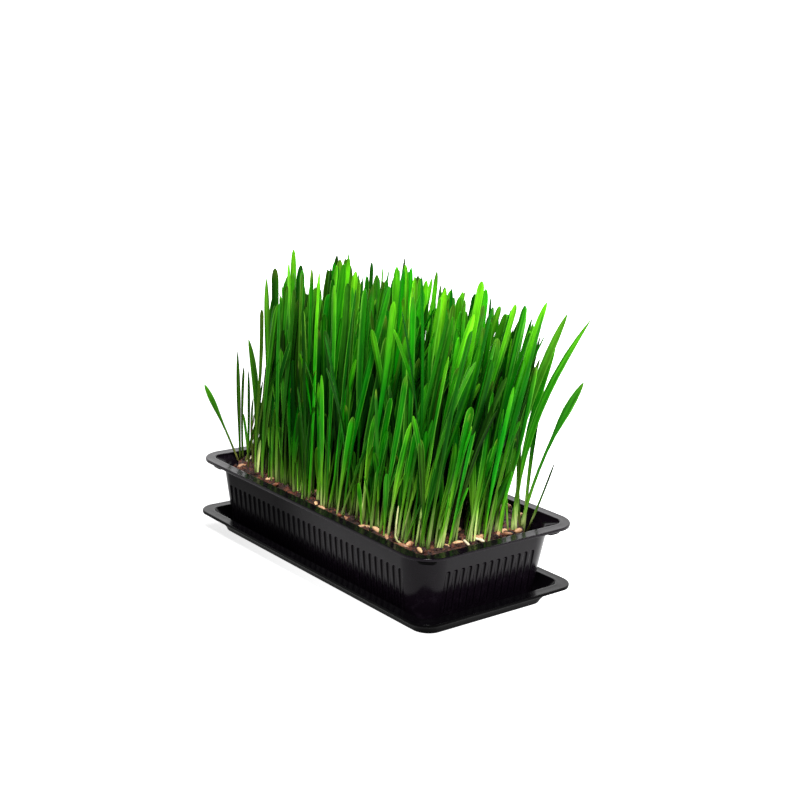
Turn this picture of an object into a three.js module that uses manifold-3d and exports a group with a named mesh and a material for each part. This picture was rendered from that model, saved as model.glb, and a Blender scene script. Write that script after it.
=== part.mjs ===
// A tray of wheatgrass: a shallow drip tray, a fluted growing tray standing in it, the soil in
// the growing tray, and bunches of seedlings whose root mats lie in plain holes in the soil.
// Millimetres, +Z up. X runs along the trays. The origin is the centre of the drip tray's
// underside, on the surface that it stands on.

import * as THREE from "three";
import { mergeVertices } from "three/addons/utils/BufferGeometryUtils.js";
import Module from "manifold-3d";

const wasm = await Module();
wasm.setup();

// ---- driving dimensions ----

const GAP = 0.3; // between pieces that touch
const CORNER_STEPS = 6; // straight pieces in a quarter circle
const SMALLEST_CORNER = 0.5;
const EDGE_ROUNDING = 0.45; // along the rims
const CLEAR = 5; // how far a cutter runs past what it cuts

const dripTray = {
  sheet: 0.8,
  floor: { length: 204.5, width: 93, corner: 10.8 },
  floorFillet: 1.6,
  opening: { length: 214, width: 102.5, corner: 8 },
  rim: { length: 228, width: 116.5, corner: 10.5 },
  rimTop: 12.3,
  rimLip: 1.8, // height of the rim's turned-down edge
};

const growingTray = {
  sheet: 1.6, // through the fluted wall
  rimSheet: 0.9,
  floorLevel: dripTray.sheet + GAP,
  floorThickness: 1.4,
  floorFillet: 4,
  innerFillet: 2.8,
  foot: { length: 195.2, width: 93.2, corner: 15.5 }, // outside, where the fillet meets the wall
  shoulder: { length: 206, width: 104, corner: 18.5 }, // outside, under the step below the rim
  shoulderLevel: 43.6,
  stepHeight: 0.8, // the step slopes up by this much from the shoulder to the opening's collar
  opening: { length: 210, width: 105, corner: 7.4 },
  rim: { length: 225, width: 119.5, corner: 13.5 },
  rimTop: 48.2,
  rimLip: 1.8,
};

const flutes = {
  depth: 0.8,
  width: 2.9, // at the wall's face
  flare: 0.5, // how far the sides slope in, down to the full depth
  crown: 0.45, // share of the width that stays flat at the rounded top
  bottom: 8.5,
  top: 34.2,
  long: { count: 33, pitch: 5.24 },
  short: { count: 13, pitch: 5.24 },
};

const soil = {
  top: 45.2,
  cornerDrop: 24, // how far the soil has sunk at the two bare corners
  cornerReach: 22, // how far from the corner it starts to sink
  slack: 0.1, // more than GAP between the soil and the sloping wall
  crumbs: 40,
  crumbLength: [2.2, 4.4],
  crumbWidth: [0.6, 1], // as a share of its length
  crumbHeight: [0.5, 0.8],
  crumbSunk: 0.25,
  crumbSpacing: 5,
  crumbReach: 3, // the most that one stands up or reaches down
};

const mats = {
  columns: 6,
  rows: 3,
  area: { left: -94, right: 99.8, halfWidth: 48.8 },
  // How far the outermost mats stay back from the tray's corners, most at the two bare ones.
  cornerCuts: { frontLeft: [7, 6], backLeft: [3, 4], frontRight: [5.5, 5.5], backRight: [6, 11] },
  depth: 6,
  wall: 1.8, // soil left between two mats
  jitter: 3.2,
};

const grass = {
  blades: 560,
  rootDepth: 2.4,
  edge: 1.7, // from a blade's middle to the edge of its mat
  clearance: 0.45,
  baseWidth: 2.1,
  baseKeel: 1.5,
  middle: 0.42, // share of the height at the middle section
  widest: 0.87, // and at the widest one
  keel: 0.95, // thickness at the widest section
  middleKeel: 1.09, // and at the middle one
  middleWidth: 0.45, // share of the way from the base's width to the blade's
  width: [3.1, 4.7],
  bend: [-0.1, 0.6], // how much of the lean comes late
  twist: [-0.7, 0.7],
  tallest: { atLeftEnd: 122, elsewhere: 184 }, // level of the highest tips
  leftEnd: [-96, -62], // where the one goes over into the other
  lowerAtBack: 13,
  lean: { least: 0.02, more: 0.16, span: [-60, 105], alongX: 0.75, alongY: 0.6, fan: 0.0006, stray: 0.055 },
  sparse: { edge: -66, slant: 1.6, from: -45, share: 0.8 }, // the bare front of the left end
  mostDraws: 40000,
};

// How tall the blades grow, as shares of the tallest, and which share of them does.
const statures = [
  { upTo: 0.12, range: [0.35, 0.6] },
  { upTo: 0.36, range: [0.6, 0.8] },
  { upTo: 1, range: [0.8, 1] },
];

// Blades are kept apart by comparing their outlines at a row of levels.
const slices = { step: 8, top: 200, reach: 14 };

const seeds = { count: 80, length: 6.6, width: 3.3, sunk: 0.25, toEdge: 2 };

// Blades that stand out from the rest: [base x, base y], [tip x, tip y, tip level], width.
const standouts = [
  [[-83.5, -39], [-104, -59, 96], 3.6],
  [[-82, -34], [-89, -41, 119], 3.0],
  [[-76, -42], [-80, -45, 111], 3.0],
  [[-72, -42.8], [-74, -46, 130], 4.0],
  [[-68, -43.5], [-65, -45, 151], 3.6],
  [[-66, -20], [-67, -19, 185], 4.2],
  [[-50, -7], [-50, -2, 183], 3.6],
  [[-43, -6], [-38, 0, 186], 4.2],
  [[30, -24], [39, -20, 195], 3.2],
  [[40, -8], [42, 0, 187], 4.0],
  [[90, -30], [101, -20, 192], 3.8],
  [[96.5, 4], [109, 20, 179], 4.2],
  [[96.5, 11], [111, 35, 172], 4.0],
  [[95.5, 21], [118, 48, 170], 3.4],
  [[94, 27], [117, 46, 134], 4.8],
  [[91.5, 32.5], [101, 42, 87], 2.6],
];

const colours = {
  plastic: { color: 0x131214, roughness: 0.32, metalness: 0 },
  soil: { color: 0x2a160d, roughness: 0.95, metalness: 0 },
  grass: { color: 0x3c8a16, roughness: 0.5, metalness: 0 },
};

// ---- numbers drawn by a seeded rule ----

function makeRandom(seed) {
  let state = seed;
  return function random() {
    state = (state + 0x6d2b79f5) | 0;
    let mixed = Math.imul(state ^ (state >>> 15), 1 | state);
    mixed = (mixed + Math.imul(mixed ^ (mixed >>> 7), 61 | mixed)) ^ mixed;
    return ((mixed ^ (mixed >>> 14)) >>> 0) / 4294967296;
  };
}

const random = makeRandom(20461);

function between(low, high) {
  return low + (high - low) * random();
}

// ---- solids ----

// A rounded rectangle, counter-clockwise from above, always with the same number of points.
function outline({ length, width, corner }, level) {
  const points = [];
  for (let quarter = 0; quarter < 4; quarter += 1) {
    const alongX = quarter === 0 || quarter === 3 ? 1 : -1;
    const alongY = quarter < 2 ? 1 : -1;
    for (let step = 0; step <= CORNER_STEPS; step += 1) {
      const angle = ((quarter + step / CORNER_STEPS) * Math.PI) / 2;
      const x = alongX * (length / 2 - corner) + corner * Math.cos(angle);
      const y = alongY * (width / 2 - corner) + corner * Math.sin(angle);
      points.push(new THREE.Vector3(x, y, level));
    }
  }
  return points;
}

function grown({ length, width, corner }, margin) {
  return {
    length: length + 2 * margin,
    width: width + 2 * margin,
    corner: Math.max(corner + margin, SMALLEST_CORNER),
  };
}

function blended(from, to, share) {
  return {
    length: THREE.MathUtils.lerp(from.length, to.length, share),
    width: THREE.MathUtils.lerp(from.width, to.width, share),
    corner: THREE.MathUtils.lerp(from.corner, to.corner, share),
  };
}

// Closes the skin over a stack of rings. The first ring's cap faces the side that the rings run
// counter-clockwise to, and the last ring's faces away. A ring of one point is a tip.
function skin(rings) {
  const positions = [];
  const starts = [];
  for (const ring of rings) {
    starts.push(positions.length / 3);
    ring.forEach((point) => positions.push(point.x, point.y, point.z));
  }
  const corner = (ring, index) => starts[ring] + (index % rings[ring].length);
  const indices = [];
  for (let ring = 0; ring + 1 < rings.length; ring += 1) {
    const count = Math.max(rings[ring].length, rings[ring + 1].length);
    for (let index = 0; index < count; index += 1) {
      if (rings[ring + 1].length > 1) {
        indices.push(corner(ring + 1, index), corner(ring + 1, index + 1), corner(ring, index));
      }
      if (rings[ring].length > 1) {
        indices.push(corner(ring + 1, index + 1), corner(ring, index + 1), corner(ring, index));
      }
    }
  }
  const last = rings.length - 1;
  for (let index = 1; index + 1 < rings[0].length; index += 1) {
    indices.push(corner(0, 0), corner(0, index), corner(0, index + 1));
  }
  for (let index = 1; index + 1 < rings[last].length; index += 1) {
    indices.push(corner(last, 0), corner(last, index + 1), corner(last, index));
  }
  const geometry = new THREE.BufferGeometry();
  geometry.setAttribute("position", new THREE.Float32BufferAttribute(positions, 3));
  geometry.setIndex(indices);
  return geometry;
}

function toSolid(geometry) {
  const bare = geometry.clone();
  bare.deleteAttribute("normal");
  bare.deleteAttribute("uv");
  const merged = mergeVertices(bare, 1e-5);
  return new wasm.Manifold(
    new wasm.Mesh({
      numProp: 3,
      vertProperties: merged.attributes.position.array,
      triVerts: new Uint32Array(merged.index.array),
    }),
  );
}

// One solid from many closed skins that stay clear of each other.
function toSolidOfMany(geometries) {
  const vertices = [];
  const triangles = [];
  for (const geometry of geometries) {
    const start = vertices.length / 3;
    vertices.push(...geometry.attributes.position.array);
    geometry.index.array.forEach((index) => triangles.push(start + index));
  }
  return new wasm.Manifold(
    new wasm.Mesh({
      numProp: 3,
      vertProperties: new Float32Array(vertices),
      triVerts: new Uint32Array(triangles),
    }),
  );
}

function toMesh(name, solid, finish) {
  const { vertProperties, triVerts } = solid.getMesh();
  const geometry = new THREE.BufferGeometry();
  geometry.setAttribute("position", new THREE.BufferAttribute(vertProperties, 3));
  geometry.setIndex(new THREE.BufferAttribute(triVerts, 1));
  geometry.computeVertexNormals();
  const mesh = new THREE.Mesh(geometry, new THREE.MeshStandardMaterial(finish));
  mesh.name = name;
  return mesh;
}

// ---- drip tray ----

function makeDripTray() {
  const { sheet, floor, floorFillet, opening, rim, rimTop, rimLip } = dripTray;
  const flangeUnder = rimTop - sheet;
  const inside = [
    outline(grown(floor, -sheet - floorFillet), sheet),
    outline(grown(floor, -sheet), sheet + floorFillet),
    outline(opening, rimTop),
  ];
  const edge = [
    outline(grown(rim, -EDGE_ROUNDING), rimTop),
    outline(rim, rimTop - EDGE_ROUNDING),
    outline(rim, rimTop - rimLip),
    outline(grown(rim, -sheet), rimTop - rimLip),
    outline(grown(rim, -sheet), flangeUnder),
  ];
  const outside = [
    outline(grown(opening, sheet), flangeUnder),
    outline(floor, floorFillet),
    outline(grown(floor, -floorFillet), 0),
  ];
  return toSolid(skin([...inside, ...edge, ...outside]));
}

// ---- growing tray ----

// The wall's outside at a level between the foot and the shoulder.
function wallOutline(level) {
  const { foot, shoulder, shoulderLevel, floorLevel, floorFillet } = growingTray;
  const footLevel = floorLevel + floorFillet;
  return blended(foot, shoulder, (level - footLevel) / (shoulderLevel - footLevel));
}

function makeGrowingTrayShell() {
  const { sheet, rimSheet, floorLevel, floorThickness, floorFillet, innerFillet } = growingTray;
  const { opening, rim, rimTop, rimLip, shoulder, shoulderLevel, stepHeight } = growingTray;
  const footLevel = floorLevel + floorFillet;
  const flangeUnder = rimTop - rimSheet;
  const floorTop = floorLevel + floorThickness;
  const bottomEdge = [];
  for (const degrees of [0, 30, 60, 90]) {
    const angle = THREE.MathUtils.degToRad(degrees);
    const inset = floorFillet * (1 - Math.cos(angle));
    const level = footLevel - floorFillet * Math.sin(angle);
    bottomEdge.push(outline(grown(wallOutline(footLevel), -inset), level));
  }
  const inside = [
    outline(grown(wallOutline(footLevel), -sheet - innerFillet), floorTop),
    outline(grown(wallOutline(footLevel), -sheet - innerFillet * 0.25), floorTop + innerFillet * 0.3),
    outline(grown(wallOutline(floorTop + innerFillet), -sheet), floorTop + innerFillet),
    outline(grown(shoulder, -sheet), shoulderLevel + stepHeight),
    outline(opening, shoulderLevel + stepHeight + rimSheet),
    outline(opening, rimTop - EDGE_ROUNDING),
    outline(grown(opening, EDGE_ROUNDING), rimTop),
  ];
  const edge = [
    outline(grown(rim, -EDGE_ROUNDING), rimTop),
    outline(rim, rimTop - EDGE_ROUNDING),
    outline(rim, rimTop - rimLip),
    outline(grown(rim, -rimSheet), rimTop - rimLip),
    outline(grown(rim, -rimSheet), flangeUnder),
  ];
  const outside = [
    outline(grown(opening, rimSheet), flangeUnder),
    outline(grown(opening, rimSheet), shoulderLevel + stepHeight),
    outline(shoulder, shoulderLevel),
  ];
  return toSolid(skin([...inside, ...edge, ...outside, ...bottomEdge]));
}

// A flute's face seen from outside: upright sides, and a top that is rounded off.
function fluteFace(halfWidth, low, high) {
  return [
    [-halfWidth, low],
    [halfWidth, low],
    [halfWidth, high - halfWidth],
    [halfWidth * flutes.crown, high],
    [-halfWidth * flutes.crown, high],
    [-halfWidth, high - halfWidth],
  ];
}

// The cutter for one flute, at a place along a wall that faces the given way.
function fluteCutter(facing, along) {
  const { depth, width, flare, bottom, top } = flutes;
  const place = (face, outward) =>
    face.map(([sideways, level]) => {
      const { length, width: across } = wallOutline(level);
      const reach = (facing.x !== 0 ? length : across) / 2 + outward;
      const point = new THREE.Vector3(facing.x * reach, facing.y * reach, level);
      point.x += -facing.y * (along + sideways);
      point.y += facing.x * (along + sideways);
      return point;
    });
  const mouth = place(fluteFace(width / 2 + flare, bottom - flare, top + flare), depth);
  const root = place(fluteFace(width / 2 - flare, bottom + flare, top - flare), -depth);
  return skin([mouth, root]);
}

function fluteCutters() {
  const cutters = [];
  const walls = [
    { facing: new THREE.Vector2(0, -1), row: flutes.long },
    { facing: new THREE.Vector2(0, 1), row: flutes.long },
    { facing: new THREE.Vector2(1, 0), row: flutes.short },
    { facing: new THREE.Vector2(-1, 0), row: flutes.short },
  ];
  for (const { facing, row } of walls) {
    for (let index = 0; index < row.count; index += 1) {
      cutters.push(fluteCutter(facing, (index - (row.count - 1) / 2) * row.pitch));
    }
  }
  return toSolidOfMany(cutters);
}

// ---- root mats ----

// Corner points of the net that parts the planted area into mats, each moved a little.
function makeNet() {
  const { columns, rows, area, jitter, cornerCuts } = mats;
  const net = [];
  for (let column = 0; column <= columns; column += 1) {
    net.push([]);
    for (let row = 0; row <= rows; row += 1) {
      const x = THREE.MathUtils.lerp(area.left, area.right, column / columns);
      const y = THREE.MathUtils.lerp(-area.halfWidth, area.halfWidth, row / rows);
      const inside = column > 0 && column < columns && row > 0 && row < rows;
      const shift = inside ? jitter : 0;
      net[column].push(new THREE.Vector2(x + between(-shift, shift), y + between(-shift, shift)));
    }
  }
  const pull = (point, [x, y]) => {
    point.x -= Math.sign(point.x) * x;
    point.y -= Math.sign(point.y) * y;
  };
  pull(net[0][0], cornerCuts.frontLeft);
  pull(net[0][rows], cornerCuts.backLeft);
  pull(net[columns][0], cornerCuts.frontRight);
  pull(net[columns][rows], cornerCuts.backRight);
  return net;
}

// A four-sided plot moved in from its edges, counter-clockwise.
function insetPlot(plot, margin) {
  const lines = plot.map((point, index) => {
    const along = plot[(index + 1) % 4].clone().sub(point).normalize();
    const inward = new THREE.Vector2(-along.y, along.x);
    return { point: point.clone().addScaledVector(inward, margin), along };
  });
  return lines.map((line, index) => {
    const before = lines[(index + 3) % 4];
    const apart = line.point.clone().sub(before.point);
    const reach = apart.cross(line.along) / before.along.cross(line.along);
    return before.point.clone().addScaledVector(before.along, reach);
  });
}

function contains(plot, x, y) {
  return plot.every((point, index) => {
    const next = plot[(index + 1) % plot.length];
    return (next.x - point.x) * (y - point.y) - (next.y - point.y) * (x - point.x) > 0;
  });
}

function slab(plot, low, high) {
  const ring = (level) => plot.map((point) => new THREE.Vector3(point.x, point.y, level));
  return skin([ring(high), ring(low)]);
}

function makeMats() {
  const { columns, rows, depth, wall } = mats;
  const net = makeNet();
  const all = [];
  for (let column = 0; column < columns; column += 1) {
    for (let row = 0; row < rows; row += 1) {
      const [left, right] = [net[column], net[column + 1]];
      const plot = [left[row], right[row], right[row + 1], left[row + 1]];
      const own = insetPlot(plot, wall / 2);
      all.push({
        name: `wheatgrass_bunch_${String(all.length + 1).padStart(2, "0")}`,
        planted: insetPlot(plot, wall / 2 + grass.edge),
        sown: insetPlot(plot, wall / 2 + seeds.toEdge),
        solid: toSolid(slab(own, soil.top - depth, soil.top)),
        hole: toSolid(slab(insetPlot(plot, wall / 2 - GAP), soil.top - depth - GAP, soil.top + CLEAR)),
        blades: [],
        seeds: [],
      });
    }
  }
  return all;
}

// ---- blades ----

const LEVELS = [];
for (let level = soil.top; level < slices.top; level += slices.step) {
  LEVELS.push(level);
}

// The three corners of a blade's cross-section: two edges and the keel between them.
function bladeSection(x, y, level, turn, width, keel) {
  const across = new THREE.Vector3(Math.cos(turn), Math.sin(turn), 0);
  const outward = new THREE.Vector3(-across.y, across.x, 0);
  const middle = new THREE.Vector3(x, y, level);
  return [
    middle.clone().addScaledVector(across, width / 2),
    middle.clone().addScaledVector(outward, keel),
    middle.clone().addScaledVector(across, -width / 2),
  ];
}

// A blade from its base to its tip. Its sections are level, so that it leans by sliding them.
function makeBlade({ base, tip, bend, turn, twist, width }) {
  const height = tip.z - soil.top;
  const at = (share) => {
    const slide = share + bend * share * (share - 1);
    return [
      THREE.MathUtils.lerp(base.x, tip.x, slide),
      THREE.MathUtils.lerp(base.y, tip.y, slide),
      soil.top + height * share,
    ];
  };
  const { middle, widest, baseWidth, baseKeel, middleKeel, keel } = grass;
  const middleWidth = THREE.MathUtils.lerp(baseWidth, width, grass.middleWidth);
  const sections = [
    bladeSection(...at(0), turn, baseWidth, baseKeel),
    bladeSection(...at(middle), turn + twist * middle, middleWidth, middleKeel),
    bladeSection(...at(widest), turn + twist * widest, width, keel),
    Array(3).fill(new THREE.Vector3(...at(1))),
  ];
  return { sections, slices: LEVELS.map((level) => sliceBlade(sections, level)) };
}

// The blade's outline at a level, as plain numbers, or null above its tip.
function sliceBlade(sections, level) {
  const above = sections.findIndex((section, index) => index > 0 && section[0].z > level);
  if (above < 0) {
    return null;
  }
  const [low, high] = [sections[above - 1], sections[above]];
  const share = (level - low[0].z) / (high[0].z - low[0].z);
  return low.map((point, index) => [
    THREE.MathUtils.lerp(point.x, high[index].x, share),
    THREE.MathUtils.lerp(point.y, high[index].y, share),
  ]);
}

function distanceToEdge([x, y], [fromX, fromY], [toX, toY]) {
  const [alongX, alongY] = [toX - fromX, toY - fromY];
  const squared = Math.max(alongX * alongX + alongY * alongY, 1e-9);
  const reach = ((x - fromX) * alongX + (y - fromY) * alongY) / squared;
  const share = Math.min(Math.max(reach, 0), 1);
  return Math.hypot(x - fromX - share * alongX, y - fromY - share * alongY);
}

function crosses([a, , b], [c, , d]) {
  const side = (p, q, r) => (q[0] - p[0]) * (r[1] - p[1]) - (q[1] - p[1]) * (r[0] - p[0]);
  return side(a, b, c) * side(a, b, d) < 0 && side(c, d, a) * side(c, d, b) < 0;
}

function tooClose(one, other) {
  if (Math.hypot(one[0][0] - other[0][0], one[0][1] - other[0][1]) > slices.reach) {
    return false;
  }
  if (crosses(one, other)) {
    return true;
  }
  const near = (corners, edges) =>
    corners.some((corner) =>
      edges.some((edge, index) => distanceToEdge(corner, edge, edges[(index + 1) % 3]) < grass.clearance),
    );
  return near(one, other) || near(other, one);
}

function touches(blade, others) {
  const meets = (slice, opposite) => slice && opposite && tooClose(slice, opposite);
  return others.some((other) => blade.slices.some((slice, index) => meets(slice, other.slices[index])));
}

// How high a blade reaches: ragged, lower towards the left end and a little towards the back.
function tipLevelAt(x, y) {
  const { halfWidth } = mats.area;
  const { tallest, lowerAtBack } = grass;
  const end = THREE.MathUtils.smoothstep(x, ...grass.leftEnd);
  const back = (y + halfWidth) / (2 * halfWidth);
  const highest = THREE.MathUtils.lerp(tallest.atLeftEnd, tallest.elsewhere, end) - lowerAtBack * back;
  const draw = random();
  const stature = statures.find(({ upTo }) => draw < upTo);
  return soil.top + (highest - soil.top) * between(...stature.range);
}

// Few seeds came up at the front of the left end.
function isSparse(x, y) {
  const { edge, slant, from, share } = grass.sparse;
  return x + slant * (y - from) < edge && random() < share;
}

// The grass leans towards +X and +Y, more so towards the right end, and fans out at the sides.
function leanAt(x, y) {
  const { least, more, span, alongX, alongY, fan, stray } = grass.lean;
  const along = least + more * THREE.MathUtils.smoothstep(x, ...span);
  return new THREE.Vector2(
    along * alongX + between(-stray, stray),
    along * alongY + fan * y + between(-stray, stray),
  );
}

function drawBlade(plots) {
  const { left, right, halfWidth } = mats.area;
  const x = between(left, right);
  const y = between(-halfWidth, halfWidth);
  const home = plots.find((plot) => contains(plot.planted, x, y));
  if (!home || isSparse(x, y)) {
    return;
  }
  const lean = leanAt(x, y);
  const level = tipLevelAt(x, y);
  const height = level - soil.top;
  const blade = makeBlade({
    base: new THREE.Vector2(x, y),
    tip: new THREE.Vector3(x + lean.x * height, y + lean.y * height, level),
    bend: between(...grass.bend),
    turn: between(0, Math.PI * 2),
    twist: between(...grass.twist),
    width: between(...grass.width),
  });
  if (!touches(blade, plots.flatMap((plot) => plot.blades))) {
    home.blades.push(blade);
  }
}

function plantStandouts(plots) {
  for (const [[baseX, baseY], [tipX, tipY, tipLevel], width] of standouts) {
    const blade = makeBlade({
      base: new THREE.Vector2(baseX, baseY),
      tip: new THREE.Vector3(tipX, tipY, tipLevel),
      bend: 0.3,
      turn: between(0.5, 1.3),
      twist: between(-0.3, 0.3),
      width,
    });
    const home = plots.find((plot) => contains(plot.planted, baseX, baseY));
    home.blades.push(blade);
  }
}

function plantBlades(plots) {
  for (let draws = 0; draws < grass.mostDraws; draws += 1) {
    if (plots.reduce((sum, plot) => sum + plot.blades.length, 0) >= grass.blades) {
      break;
    }
    drawBlade(plots);
  }
}

// Goes on down into the mat, so that the blade is rooted in it.
function rootedBlade({ sections }) {
  const root = sections[0].map((point) => point.clone().setZ(soil.top - grass.rootDepth));
  return skin([[sections[3][0]], sections[2], sections[1], sections[0], root]);
}

// ---- seeds and crumbs ----

// A pointed lump: an octahedron stretched to a size and turned.
function lump(x, y, level, [length, width, height], turn) {
  const geometry = mergeVertices(bareOctahedron(), 1e-4);
  geometry.scale(length / 2, width / 2, height / 2);
  geometry.rotateZ(turn);
  geometry.translate(x, y, level);
  return geometry;
}

function bareOctahedron() {
  const geometry = new THREE.OctahedronGeometry(1);
  geometry.deleteAttribute("normal");
  geometry.deleteAttribute("uv");
  return geometry;
}

function sowSeeds(plots) {
  const { left, right, halfWidth } = mats.area;
  const { length, width } = seeds;
  const lying = [];
  while (lying.length < seeds.count) {
    const place = new THREE.Vector2(between(left, right), between(-halfWidth, halfWidth));
    const turn = between(0, Math.PI);
    const half = new THREE.Vector2(Math.cos(turn), Math.sin(turn)).multiplyScalar(length / 2);
    const [front, back] = [place.clone().add(half), place.clone().sub(half)];
    const ends = [front, back];
    const home = plots.find(({ sown }) => ends.every((end) => contains(sown, end.x, end.y)));
    if (home && lying.every((other) => other.distanceTo(place) > length)) {
      lying.push(place);
      home.seeds.push(lump(place.x, place.y, soil.top - seeds.sunk, [length, width, width], turn));
    }
  }
}

function makeBunch({ solid, blades, seeds: grains }) {
  const stand = toSolidOfMany(blades.map(rootedBlade));
  const bed = grains.length > 0 ? solid.add(toSolidOfMany(grains)) : solid;
  return bed.add(stand);
}

// ---- soil ----

function soilOutline(level, margin) {
  return outline(grown(wallOutline(level), -growingTray.sheet - margin), level);
}

// Takes the soil's top away over a bare corner, down a slope.
function cornerCutter(alongX, alongY) {
  const { length, width } = growingTray.shoulder;
  const place = (inX, inY, level) =>
    new THREE.Vector3(alongX * (length / 2 - inX), alongY * (width / 2 - inY), level);
  const far = soil.cornerReach + CLEAR;
  const triangle = (cornerLevel, level) => [
    place(far, -CLEAR, level),
    place(-CLEAR, far, level),
    place(-CLEAR, -CLEAR, cornerLevel),
  ];
  const high = soil.top + CLEAR;
  return toSolid(skin([triangle(high, high), triangle(soil.top - soil.cornerDrop, soil.top)]));
}

// Loose crumbs lying on the soil between the mats, cut off where they would reach into the wall.
function makeCrumbs(plots) {
  const { area } = mats;
  const lying = [];
  while (lying.length < soil.crumbs) {
    const x = between(area.left, area.right);
    const y = between(-area.halfWidth, area.halfWidth);
    const length = between(...soil.crumbLength);
    const bare = plots.every(({ sown }) => !contains(sown, x, y));
    if (bare && lying.every((other) => Math.hypot(other.x - x, other.y - y) > soil.crumbSpacing)) {
      const size = [length, length * between(...soil.crumbWidth), length * between(...soil.crumbHeight)];
      const turn = between(0, Math.PI);
      lying.push({ x, y, geometry: lump(x, y, soil.top - soil.crumbSunk, size, turn) });
    }
  }
  const { top, crumbReach } = soil;
  const room = grown(wallOutline(top - crumbReach), -growingTray.sheet - 2 * GAP);
  const column = toSolid(skin([outline(room, top + crumbReach), outline(room, top - crumbReach)]));
  return toSolidOfMany(lying.map(({ geometry }) => geometry)).intersect(column);
}

function makeSoil(plots) {
  const { floorLevel, floorThickness, innerFillet } = growingTray;
  const floorTop = floorLevel + floorThickness;
  const toWall = GAP + soil.slack;
  const block = toSolid(
    skin([
      soilOutline(soil.top, toWall),
      soilOutline(floorTop + innerFillet + 2 * GAP, toWall),
      soilOutline(floorTop + GAP, innerFillet + toWall),
    ]),
  );
  const cutters = [cornerCutter(-1, -1), cornerCutter(1, 1), ...plots.map(({ hole }) => hole)];
  return cutters.reduce((solid, cutter) => solid.subtract(cutter), block.add(makeCrumbs(plots)));
}

// ---- the whole part ----

const plots = makeMats();
plantStandouts(plots);
plantBlades(plots);
sowSeeds(plots);

const part = new THREE.Group();
part.add(toMesh("drip_tray", makeDripTray(), colours.plastic));
part.add(toMesh("growing_tray", makeGrowingTrayShell().subtract(fluteCutters()), colours.plastic));
part.add(toMesh("growing_medium", makeSoil(plots), colours.soil));
for (const plot of plots) {
  part.add(toMesh(plot.name, makeBunch(plot), colours.grass));
}

export default part;
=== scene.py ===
import math

import bmesh
import bpy
import numpy as np
from mathutils import Matrix, Vector


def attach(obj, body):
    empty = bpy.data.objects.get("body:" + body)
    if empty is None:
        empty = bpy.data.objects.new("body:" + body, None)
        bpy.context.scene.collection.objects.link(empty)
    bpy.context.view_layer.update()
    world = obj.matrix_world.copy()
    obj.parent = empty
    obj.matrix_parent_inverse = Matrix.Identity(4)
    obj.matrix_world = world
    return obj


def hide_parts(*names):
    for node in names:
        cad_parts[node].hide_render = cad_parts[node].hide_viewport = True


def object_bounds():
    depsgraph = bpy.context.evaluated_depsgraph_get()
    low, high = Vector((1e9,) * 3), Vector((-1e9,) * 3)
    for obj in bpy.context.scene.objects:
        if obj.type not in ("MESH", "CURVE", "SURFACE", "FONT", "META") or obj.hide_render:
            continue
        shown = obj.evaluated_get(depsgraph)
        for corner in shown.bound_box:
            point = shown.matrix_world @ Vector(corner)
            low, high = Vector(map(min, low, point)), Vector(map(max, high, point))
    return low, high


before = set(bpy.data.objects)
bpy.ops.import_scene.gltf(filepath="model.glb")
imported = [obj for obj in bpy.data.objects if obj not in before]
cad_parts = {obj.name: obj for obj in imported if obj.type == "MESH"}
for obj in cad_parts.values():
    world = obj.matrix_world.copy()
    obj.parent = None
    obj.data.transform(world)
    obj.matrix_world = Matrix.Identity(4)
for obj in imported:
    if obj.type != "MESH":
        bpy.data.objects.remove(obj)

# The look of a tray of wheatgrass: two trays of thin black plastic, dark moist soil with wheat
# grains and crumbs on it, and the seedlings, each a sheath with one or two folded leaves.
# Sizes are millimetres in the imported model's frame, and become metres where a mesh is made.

MM = 0.001
CAD_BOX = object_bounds()
rng = np.random.default_rng(4817)


# ---- numbers ----


def smooth(value, low, high):
    """0 below low, 1 above high, and an S-curve between."""
    share = np.clip((np.asarray(value, float) - low) / (high - low), 0.0, 1.0)
    return share * share * (3.0 - 2.0 * share)


def blend(one, other, share):
    """Between two colours or numbers; share may be an array, with one row of the result for each."""
    share = np.asarray(share, float)
    if np.ndim(one) or np.ndim(other):
        share = share[..., None]
    return np.asarray(one, float) * (1.0 - share) + np.asarray(other, float) * share


def colour(red, green, blue):
    """A colour that a screen shows as these values of 0 to 255, as the linear one that shaders take."""
    screen = np.array([red, green, blue]) / 255.0
    return np.where(screen <= 0.04045, screen / 12.92, ((screen + 0.055) / 1.055) ** 2.4)


def either(one, other):
    """A number drawn from one of two ranges."""
    return rng.choice([rng.uniform(*one), rng.uniform(*other)])


def heading(angle):
    """The level direction at an angle from +X."""
    return np.array([math.cos(angle), math.sin(angle)])


def ring_angles(count):
    """The angles of points spaced evenly round a circle."""
    return math.tau * np.arange(count) / count


# ---- camera ----

PICTURE_SIDE = 800  # the picture is square
FOCAL_PIXELS = 1380.26
CAMERA_TARGET = np.array([16.05, 0.0, 106.0])
CAMERA_DISTANCE = 805.24
CAMERA_AZIMUTH, CAMERA_ELEVATION, CAMERA_ROLL = np.radians([50.116739, 14.232208, 2.930034])


def camera_axes():
    """The camera's right, up and backward directions."""
    back = np.array([
        math.sin(CAMERA_AZIMUTH) * math.cos(CAMERA_ELEVATION),
        -math.cos(CAMERA_AZIMUTH) * math.cos(CAMERA_ELEVATION),
        math.sin(CAMERA_ELEVATION),
    ])
    level = np.array([*heading(CAMERA_AZIMUTH), 0.0])
    upright = np.cross(back, level)
    right = level * math.cos(CAMERA_ROLL) + upright * math.sin(CAMERA_ROLL)
    return right, np.cross(back, right), back


RIGHT, UP, BACK = camera_axes()
EYE = CAMERA_TARGET + BACK * CAMERA_DISTANCE


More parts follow.
